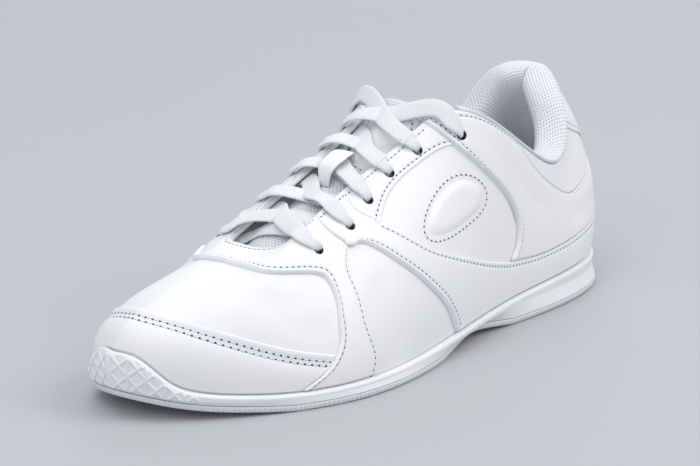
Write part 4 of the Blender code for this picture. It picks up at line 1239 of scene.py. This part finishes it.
laceForm = {
    "eyelets": (  # tau and v, from the toe
        (0.772, 0.754), (0.711, 0.782), (0.675, 0.845), (0.635, 0.895), (0.579, 0.897), (0.480, 0.883),
    ),
    "outerLeads": (0.034, 0.022, 0.011, 0.010, 0.013),  # how far each strand first keeps to the toe, in tau
    "innerLeads": (0.012, 0.020, 0.012, 0.010, 0.013),
    "innerEnds": (0.022, 0.022, 0.024, 0.012, 0.0),  # the same where a strand from the inner side ends
    "bows": (2.0, 3.0, 0.6, 2.0, 2.0),  # how far each crossing bows to the toe
    "rises": (1.6, 0.3, 0.3, 1.0, 0.4),  # its height over the tongue beyond the thickness
    "barBow": 0.5,  # how far the front bar bows to the toe
    "barDepth": 1.6,
    "barSkew": 0.015,  # how far its inner end lies back, in tau
    "width": 7.2,
    "thick": 1.4,
    "tip": 3.6,  # width where it goes through an eyelet
    "over": 2.35,  # height of the lace's middle over the last, on the panels
    "beneath": -3.2,
    "crossing": 1.3,  # how much higher the strands from the outer side run
    "lean": 0.8,  # how far it leans to the throat in its eyelet
    "tuck": 3.4,  # from an eyelet to where it lies flat beneath
    "emerge": 2.6,  # from an eyelet to where it lies on the leather, and to where it is wide
    "spread": 5.6,
    "hole": 2.1,  # radius of an eyelet
}


def throatCrossing(here, there, side):
    # where one side's topline meets the straight plan line between two points
    tau = side * np.linspace(0.5, 0.97, 400)
    offset = lastPoint(tau, 1.0)[:, :2] - here[:2]
    way = there[:2] - here[:2]
    return tau[np.argmin(np.abs(offset[:, 0] * way[1] - offset[:, 1] * way[0]))]


def ridgeNormal(x):
    # upwards and square to the tongue's ridge
    slope = tongueRidge(x + 1) - tongueRidge(x - 1)
    return unit(np.array((-float(slope) / 2, 0, 1)))


def lacePath(side, form):
    # half the lace from the middle of the front bar: at each key its point, side direction and width
    spots = form["eyelets"]
    over, beneath, wide, tip = form["over"], form["beneath"], form["width"], form["tip"]
    keys = []

    def add(point, normal, way, width):  # a key whose side direction is square to its way and normal
        keys.append((point, None if way is None else unit(np.cross(way, normal)), width))

    def at(tau, v, offset, way, width):  # a key over or under the leather
        add(skin(tau, v, offset), lastNormal(tau, v), way, width)

    def onWay(spot, goal, share, distance):
        # a place on the straight (tau, v) line from spot to goal, by share of it or by millimetres
        spot, goal = np.array(spot), np.array(goal)
        if distance:
            share = distance / np.linalg.norm(lastPoint(*goal) - lastPoint(*spot))
        return spot + share * (goal - spot)

    def through(eyelet, *offsets):
        # in the eyelet itself
        for offset in offsets:
            at(eyelet[0], eyelet[1] + form["lean"] / metric[1], offset, None, tip)

    def climb(eyelet, before, after, way, nextWay):
        # from beneath an eyelet up through it and away over the leather
        at(*onWay(eyelet, before, 0, form["tuck"]), beneath, way, tip + 1.2)
        through(eyelet, -0.5, 1.0)
        at(*onWay(eyelet, after, 0, form["emerge"]), over - 0.1, nextWay, tip + 0.9)
        at(*onWay(eyelet, after, 0, form["spread"]), over + 0.15, nextWay, wide - 0.3)

    places = [(side * (-1) ** level * tau, v) for level, (tau, v) in enumerate(spots)]
    edge = throatCrossing(lastPoint(*spots[0]), lastPoint(-spots[0][0], spots[0][1]), 1)
    low = beneath - form["barDepth"]
    ends = {1: edge, -1: form["barSkew"] - edge}
    middle = (skin(ends[1], 1.0, low) + skin(ends[-1], 1.0, low)) / 2
    middle[0] += form["barBow"]
    middle[2] = tongueRidge(middle[0]) + 1.6
    way = np.array((0.0, side, 0.0))
    add(middle, ridgeNormal(middle[0]), way, wide)
    at(ends[side], 1.0, low, way, wide)
    before = (ends[side], 1.0)
    sign = 1
    for level in range(len(spots) - 1):
        here, there = places[level], places[level + 1]
        final = level == len(spots) - 2
        start, goal = lastPoint(*here), lastPoint(*there)
        outer = here[0] > 0
        lead = form["outerLeads"][level] if outer else -form["innerLeads"][level]
        own = (throatCrossing(start, goal, np.sign(here[0])) + lead, 1.0)
        other = (throatCrossing(goal, start, np.sign(there[0])), 1.0)
        nextWay = -sign * unit(goal - start)
        climb(here, before, own, way, nextWay)
        sign, way = -sign, nextWay
        at(*onWay(here, own, 0.72, 0), over + 0.3, way, wide)
        near = skin(*own, over + 0.5)
        depth = over + 0.5 if final else beneath
        cross = (near + skin(*other, depth)) / 2
        cross[0] += form["bows"][level]
        clear = tongueRidge(cross[0]) + 1.5 + form["rises"][level]
        clear += form["crossing"] if outer else 0
        cross[2] = max(float(clear), cross[2]) if final else clear
        add(near, lastNormal(*own), way, wide)
        add(cross, ridgeNormal(cross[0]), way, wide)
        other = (other[0] + (0 if outer else form["innerEnds"][level]), 1.0)
        before = other
        at(*other, depth, way, wide)
        if not final:
            at(*onWay(other, there, 0.4, 0), beneath, way, wide)
    last = places[-1]
    at(*onWay(last, before, 0.55, 0), over + 0.3, way, wide)
    at(*onWay(last, before, 0, form["emerge"]), over - 0.1, way, tip + 0.9)
    through(last, 1.0, -0.6)
    at(*onWay(last, before, 0, form["tuck"]), beneath, way, tip + 1.0)
    at(*onWay(last, before, 0, 6.5), beneath - 0.4, way, tip + 2.0)
    return keys


def ribbonPiece(name, points, sides, widths, thicks, materials, spacing=0.5, corners=20):
    # a flat band along a spline: rounded oblong sections, turned by the side direction, UV in millimetres
    places = lengthsOf(points)
    at = np.linspace(0, places[-1], int(places[-1] / spacing))
    path = splineThrough(places, points, at)
    along = unit(np.gradient(path, axis=0))
    side = np.stack([np.interp(at, places, sides[:, k]) for k in range(3)], -1)
    side = unit(side - along * np.sum(side * along, -1, keepdims=True))
    up = np.cross(side, along)
    width, thick = np.interp(at, places, widths), np.interp(at, places, thicks)
    turn = np.linspace(0, 2 * math.pi, corners, endpoint=False)
    x = np.sign(np.cos(turn)) * np.abs(np.cos(turn)) ** 0.55
    y = np.sign(np.sin(turn)) * np.abs(np.sin(turn)) ** 0.8
    rings = path[:, None] + side[:, None] * (x[None, :] * width[:, None] / 2)[..., None]
    rings = rings + up[:, None] * (y[None, :] * thick[:, None] / 2)[..., None]
    steps = np.hypot(np.diff(x, append=x[0]) * 3.5, np.diff(y, append=y[0]) * 0.8)  # of a lace's section
    girth = np.append(0, np.cumsum(steps))
    uv = np.stack(np.broadcast_arrays(lengthsOf(path)[:, None], girth[None, :]), -1)
    return loftPiece(name, rings, False, uv, materials)


def buildLace(form):
    # both halves end to end as one lace; its side direction is carried on straight through every eyelet
    first, second = lacePath(1, form), lacePath(-1, form)
    keys = [(p, None if s is None else -s, w) for p, s, w in second[:0:-1]] + first
    points = np.array([key[0] for key in keys], float)
    number = np.arange(len(keys))
    flat = np.array([i for i in number if keys[i][1] is not None])
    known = np.array([keys[i][1] for i in flat])
    sides = np.stack([np.interp(number, flat, known[:, k]) for k in range(3)], -1)
    widths = np.array([key[2] for key in keys], float)
    thicks = np.where(widths < form["tip"] + 1, form["thick"] + 0.4, form["thick"])
    piece = ribbonPiece("lace_run", points, sides, widths, thicks, [laceBraid])
    print("lace length:", round(lengthsOf(points)[-1]), "mm")
    crossings = ["lace_" + str(level) for level in range(1, len(form["eyelets"]))]
    return finishPiece(piece, "lace", "lace_bar", *crossings)


keeperForm = {
    "columns": ("x", "over", "width"),
    "rows": (
        (154.1, 0.4, 5.0),
        (154.0, 3.4, 5.4),
        (152.8, 6.8, 7.6),
        (148.0, 7.6, 9.0),
        (143.0, 7.0, 9.0),
        (140.3, 5.0, 6.0),
        (139.3, 2.6, 4.6),
        (139.2, 0.4, 4.4),
    ),
    "thick": 1.1,
}


def buildKeeper(form):
    # a strap over the lace's third crossing: places along the shoe, heights over the tongue and widths
    x, over, width = np.array(form["rows"]).T
    points = np.stack([x, swing(x), tongueRidge(x) + over], -1)
    sides = np.tile((0.0, 1.0, 0.0), (len(points), 1))
    thick = form["thick"] * np.ones(len(points))
    piece = ribbonPiece("keeper_strap", points, sides, width, thick, [panelLeather], 0.4)
    return finishPiece(piece, "panels", "lace_keeper")


buildLace(laceForm)
buildKeeper(keeperForm)


def punchEyelets(form, pieces):
    # round pins through every eyelet taken out of the leather; their dark material stays on the hole walls as
    # painted shade
    sides, reach = 28, 4.5
    turn = np.linspace(0, 2 * math.pi, sides, endpoint=False)
    points, quads, caps = [], [], []
    for side in (1, -1):
        for tau, v in form["eyelets"]:
            normal = lastNormal(side * tau, v)
            across = unit(np.cross(normal, (0.0, 1.0, 0.0)))
            circle = np.cos(turn)[:, None] * across + np.sin(turn)[:, None] * np.cross(normal, across)
            centre = lastPoint(side * tau, v)
            first = len(points) * sides
            points += [centre + form["hole"] * circle + normal * end for end in (-reach, reach)]
            quads.append(gridQuads(2, sides)[0] + first)
            caps += [tuple(range(first, first + sides))[::-1], tuple(range(first + sides, first + 2 * sides))]
    cutter = addMesh("eyelet_pins", np.concatenate(points), np.concatenate(quads), caps, None, [holeShadePaint])
    for piece in pieces:
        hole = piece.modifiers.new("eyelets", "BOOLEAN")
        hole.object = cutter
        hole.solver = "EXACT"
        # the hole walls take the pins' painted shade material
        hole.material_mode = "TRANSFER"
    ready = bpy.context.evaluated_depsgraph_get()
    for piece in pieces:
        mesh = bpy.data.meshes.new_from_object(piece.evaluated_get(ready))
        piece.modifiers.clear()
        piece.data = mesh
        print("eyelets:", piece.name, len(mesh.polygons), "faces")
    bpy.data.objects.remove(cutter)


punched = ("saddle", "heel_band", "eyestay_outer", "eyestay_inner", "quarter")
punchEyelets(laceForm, [upper] + [panels[name]["piece"] for name in punched])


ovalForm = {
    "centre": (0.508, 0.585),  # tau and v
    "half": (15.0, 8.5),
    "turn": -12.0,  # degrees
    "height": 1.1,
    "stitch": 2.3,  # stitches' distance from its edge, and their pitch
    "pitch": 2.4,
}


def ovalSpot(form, side, reach, turn):
    # a place on or round the oval: reach in millimetres outside its edge, turn round its centre
    a, b = form["half"][0] + reach, form["half"][1] + reach
    lean = math.radians(form["turn"])
    x, y = a * np.cos(turn), b * np.sin(turn)
    across, up = x * math.cos(lean) - y * math.sin(lean), x * math.sin(lean) + y * math.cos(lean)
    step = 1e-3
    tau, v = form["centre"]
    wide = np.linalg.norm(lastPoint(tau + step, v) - lastPoint(tau, v)) / step
    tall = np.linalg.norm(lastPoint(tau, v + step) - lastPoint(tau, v)) / step
    return side * (tau + across / wide), v + up / tall


def buildOval(form, side):
    # a plain pad of low relief: rings from its edge to its top, a rounded rim and a nearly flat crown
    turn = np.linspace(0, 2 * math.pi, 120, endpoint=False)
    share = np.concatenate([[0.0, 0.0], np.linspace(0, 1, 26)[1:-1] ** 1.5 * 0.985])
    rings = []
    for k, inward in enumerate(share):
        depth = inward * form["half"][1]
        lift = -0.3 if k == 0 else form["height"] * (1 - (1 - min(1, inward * 1.9)) ** 2.4) + 0.02
        tau, v = ovalSpot(form, side, -depth, turn)
        rings.append(skin(tau, v, lift))
    name = "side_pad_outer" if side > 0 else "side_pad_inner"
    return finishPiece(loftPiece(name, np.stack(rings), False, None, [panelLeather]), "panels")


tabForm = {"centre": (0.7115, 0.704), "half": (3.0, 1.7, 0.9), "lift": 1.35}


def buildTab(form, side):
    # a small rounded end of the rolled edge: a flattened ball on the panels
    tau, v = form["centre"]
    normal = lastNormal(side * tau, v)
    along = unit(lastPoint(side * (tau - 0.02), v - 0.02) - lastPoint(side * tau, v))
    across = np.cross(normal, along)
    up = np.linspace(-math.pi / 2, math.pi / 2, 15)[1:-1, None]
    turn = np.linspace(0, 2 * math.pi, 28, endpoint=False)[None, :]
    a, b, c = form["half"]
    x, y, z = a * np.cos(up) * np.cos(turn), b * np.cos(up) * np.sin(turn), c * np.sin(up) + 0 * turn
    rings = skin(side * tau, v, form["lift"]) + x[..., None] * along
    rings = rings + y[..., None] * across + z[..., None] * normal
    name = "edge_tab_outer" if side > 0 else "edge_tab_inner"
    return finishPiece(loftPiece(name, rings, False, None, [panelLeather]), "panels")


for side in (1, -1):
    buildOval(ovalForm, side)
    buildTab(tabForm, side)

stitchForm = {
    "thread": 0.27,  # radius
    "length": 0.74,  # of a stitch, as a share of the pitch
    "hole": 0.175,  # radius of a needle hole, as a share of the pitch
    "rows": (  # panel, edge, distance from it, pitch, first and last column as shares
        ("toe_cap", "high", 3.1, 3.0, 0.004, 0.996),
        ("toe_cap", "high", 5.1, 3.0, 0.008, 0.992),
        ("saddle", "low", 3.3, 2.4, 0.0, 1.0),
        ("saddle", "high", 2.2, 2.3, 0.0, 0.228),
        ("saddle", "high", 2.2, 2.3, 0.334, 0.666),
        ("saddle", "high", 2.2, 2.3, 0.772, 1.0),
        ("heel_band", "low", 3.3, 2.3, 0.072, 0.248),
        ("heel_band", "low", 3.3, 2.3, 0.752, 0.928),
        ("heel_band", "high", 2.2, 2.3, 0.075, 0.925),
        ("heel_band", "start", 2.2, 2.3, 0.1, 0.9),
        ("heel_band", "end", 2.2, 2.3, 0.1, 0.9),
        ("eyestay_outer", "low", 2.2, 2.4, 0.0, 1.0),
        ("eyestay_inner", "low", 2.2, 2.4, 0.0, 1.0),
        ("eyestay_outer", "high", 2.4, 2.3, 0.06, 1.0),
        ("eyestay_inner", "high", 2.4, 2.3, 0.06, 1.0),
        ("quarter", "start", 3.3, 2.3, 0.03, 0.97),
        ("quarter", "end", 3.3, 2.3, 0.03, 0.97),
        ("quarter", "high", 2.2, 2.3, 0.035, 0.965),
        ("heel_tab", "low", 2.2, 2.3, 0.02, 0.99),
        ("heel_tab", "high", 2.2, 2.3, 0.02, 0.99),
        ("tongue_patch", "low", 1.9, 2.2, 0.05, 0.96),
        ("tongue_patch", "high", 1.9, 2.2, 0.05, 0.96),
        ("tongue_patch", "start", 1.9, 2.2, 0.12, 0.88),
    ),
}


def followLine(panel, edge, inset, first, last):
    # the line on a panel's top at one distance from an edge, by linear search across each column
    reach, top, normal = panel["reach"][edge], panel["top"], panel["normal"]
    if edge in ("start", "end"):
        reach, top, normal = reach.T, top.swapaxes(0, 1), normal.swapaxes(0, 1)
    if edge in ("high", "end"):
        reach, top, normal = reach[:, ::-1], top[:, ::-1], normal[:, ::-1]
    i = np.clip(np.sum(reach < inset, 1), 1, reach.shape[1] - 1)
    row = np.arange(len(reach))
    before, after = reach[row, i - 1], reach[row, i]
    share = np.clip((inset - before) / np.maximum(after - before, 1e-6), 0, 1)[:, None]
    line = top[row, i - 1] * (1 - share) + top[row, i] * share
    upright = unit(normal[row, i - 1] * (1 - share) + normal[row, i] * share)
    kept = (row >= first * len(row)) & (row <= last * len(row)) & (reach[:, -1] > 1.7 * inset)
    return line[kept], upright[kept]


def spaced(line, upright, pitch):
    # needle places at even steps along a line, with the upright at each
    run = lengthsOf(line)
    count = max(2, round(run[-1] / pitch))
    at = np.linspace(0, run[-1], count + 1)
    spots, ups = (np.stack([np.interp(at, run, a[:, k]) for k in range(3)], -1) for a in (line, upright))
    return spots, unit(ups)


def manySolids(name, rings, material, slot):
    # many small closed solids in one mesh: rings has solid, ring, corner and coordinate
    number, stack, count = rings.shape[:3]
    first = np.arange(number) * stack * count
    quads = (gridQuads(stack, count)[0][None] + first[:, None, None]).reshape(-1, 4)
    ends = [tuple(range(k, k + count))[::-1] for k in first.tolist()]
    ends += [tuple(range(k + (stack - 1) * count, k + stack * count)) for k in first.tolist()]
    return finishPiece(addMesh(name, rings, quads, ends, None, [material]), slot)


def sewRows(form):
    # a thread bar between neighbouring needle holes, its ends pulled in, and a disc of painted shade at each
    # hole
    lines = []
    for name, edge, inset, pitch, first, last in form["rows"]:
        panel = tonguePatch if name == "tongue_patch" else panels[name]
        lines.append(spaced(*followLine(panel, edge, inset, first, last), pitch))
    for side in (1, -1):
        tau, v = ovalSpot(ovalForm, side, ovalForm["stitch"], np.linspace(0, 2 * math.pi, 400))
        lines.append(spaced(skin(tau, v, 0.0), lastNormal(tau, v), ovalForm["pitch"]))
    holes = np.concatenate([spots for spots, ups in lines])
    step = [np.linalg.norm(spots[1] - spots[0]) * np.ones(len(spots)) for spots, ups in lines]
    wide = form["hole"] * np.concatenate(step)[:, None, None, None]
    holeUps = np.concatenate([ups for spots, ups in lines])
    centre = np.concatenate([(spots[1:] + spots[:-1]) / 2 for spots, ups in lines])
    way = np.concatenate([np.diff(spots, axis=0) for spots, ups in lines])
    up = unit(np.concatenate([ups[1:] + ups[:-1] for spots, ups in lines]))
    size = np.linalg.norm(way, axis=-1)[:, None, None, None]
    along = unit(way)[:, None, None, :]
    side = unit(np.cross(up, unit(way)))[:, None, None, :]
    up = up[:, None, None, :]
    t = np.array((-1, -0.62, 0, 0.62, 1))[None, :, None, None]
    turn = (np.arange(6) * math.pi / 3)[None, None, :, None]
    thick = form["thread"] * np.sqrt(1 - 0.75 * t**4)
    lift = 0.10 - 0.30 * t**4
    bars = centre[:, None, None, :] + along * t * size * form["length"] / 2 + up * lift
    bars = bars + (side * np.cos(turn) + up * np.sin(turn)) * thick
    manySolids("stitches", bars, thread, "panels")
    across = unit(np.cross(holeUps, (0.3, 0.5, 0.8)))[:, None, None, :]
    holeUps = holeUps[:, None, None, :]
    other = np.cross(holeUps, across)
    turn = (np.arange(8) * math.pi / 4)[None, None, :, None]
    level = np.array((-0.25, 0.05))[None, :, None, None]
    # dark discs of painted shade, where the needle holes' shadows fall
    holeShadeDiscs = holes[:, None, None, :] + (across * np.cos(turn) + other * np.sin(turn)) * wide + holeUps * level
    manySolids("hole_shade_discs", holeShadeDiscs, holeShadePaint, "panels")


sewRows(stitchForm)

camera = {
    "azimuth": 128.0,
    "elevation": 17.0,
    "distance": 1.5,
    "lens": 198.1,
    "aim": (0.0062, 0.00115, 0.0439),
}


def addCamera(view):
    # on a ball round the aim, looking at it
    a, e = math.radians(view["azimuth"]), math.radians(view["elevation"])
    back = Vector((math.sin(a) * math.cos(e), -math.cos(a) * math.cos(e), math.sin(e)))
    data = bpy.data.cameras.new("photo_view")
    data.lens = view["lens"]
    data.sensor_width = 36.0
    piece = bpy.data.objects.new("photo_view", data)
    piece.location = Vector(view["aim"]) + back * view["distance"]
    piece.rotation_euler = back.to_track_quat("Z", "Y").to_euler()
    bpy.context.scene.collection.objects.link(piece)
    bpy.context.scene.camera = piece


studio = {
    "floor": (0.50, 0.51, 0.535),
    "world": (0.93, 0.95, 1.0),
    "worldStrength": 0.60,
    "lights": (  # name, place, size, watts, colour
        ("key", (-0.55, 1.15, 1.35), 1.0, 11.5, (1.0, 0.98, 0.96)),
        ("top", (0.35, -0.15, 1.7), 1.2, 7.0, (0.98, 0.99, 1.0)),
        ("front", (1.0, 0.25, 1.1), 0.9, 4.0, (1.0, 0.99, 0.98)),
        ("rim", (-1.2, -0.9, 0.9), 0.9, 5.0, (0.85, 0.9, 1.0)),
    ),
}


def addStudio(look):
    # a pale floor, a pale sky and a few broad lights that face the shoe
    side = 6.0
    mesh = bpy.data.meshes.new("floor")
    corners = [(-side, -side, 0), (side, -side, 0), (side, side, 0), (-side, side, 0)]
    mesh.from_pydata(corners, [], [(0, 1, 2, 3)])
    floor = bpy.data.objects.new("floor", mesh)
    bpy.context.scene.collection.objects.link(floor)
    material, wire, shader = newMaterial("floor_paper", specular=0.2)
    shade = noise(wire, 3.0)
    darker = tuple(c * 0.97 for c in look["floor"])
    mesh.materials.append(finishMaterial(material, shader, shade.tint(look["floor"], darker), 0.75))
    world = bpy.data.worlds.new("studio")
    world.use_nodes = True
    sky = world.node_tree.nodes["Background"].inputs
    sky["Color"].default_value = (*look["world"], 1)
    sky["Strength"].default_value = look["worldStrength"]
    bpy.context.scene.world = world
    for name, spot, size, watts, colour in look["lights"]:
        data = bpy.data.lights.new(name, "AREA")
        data.size = size
        data.energy = watts
        data.color = colour
        lamp = bpy.data.objects.new(name, data)
        lamp.location = spot
        lamp.rotation_euler = Vector(spot).to_track_quat("Z", "Y").to_euler()
        bpy.context.scene.collection.objects.link(lamp)
    bpy.context.scene.view_settings.view_transform = "Standard"


addCamera(camera)
addStudio(studio)
print("camera and studio set")
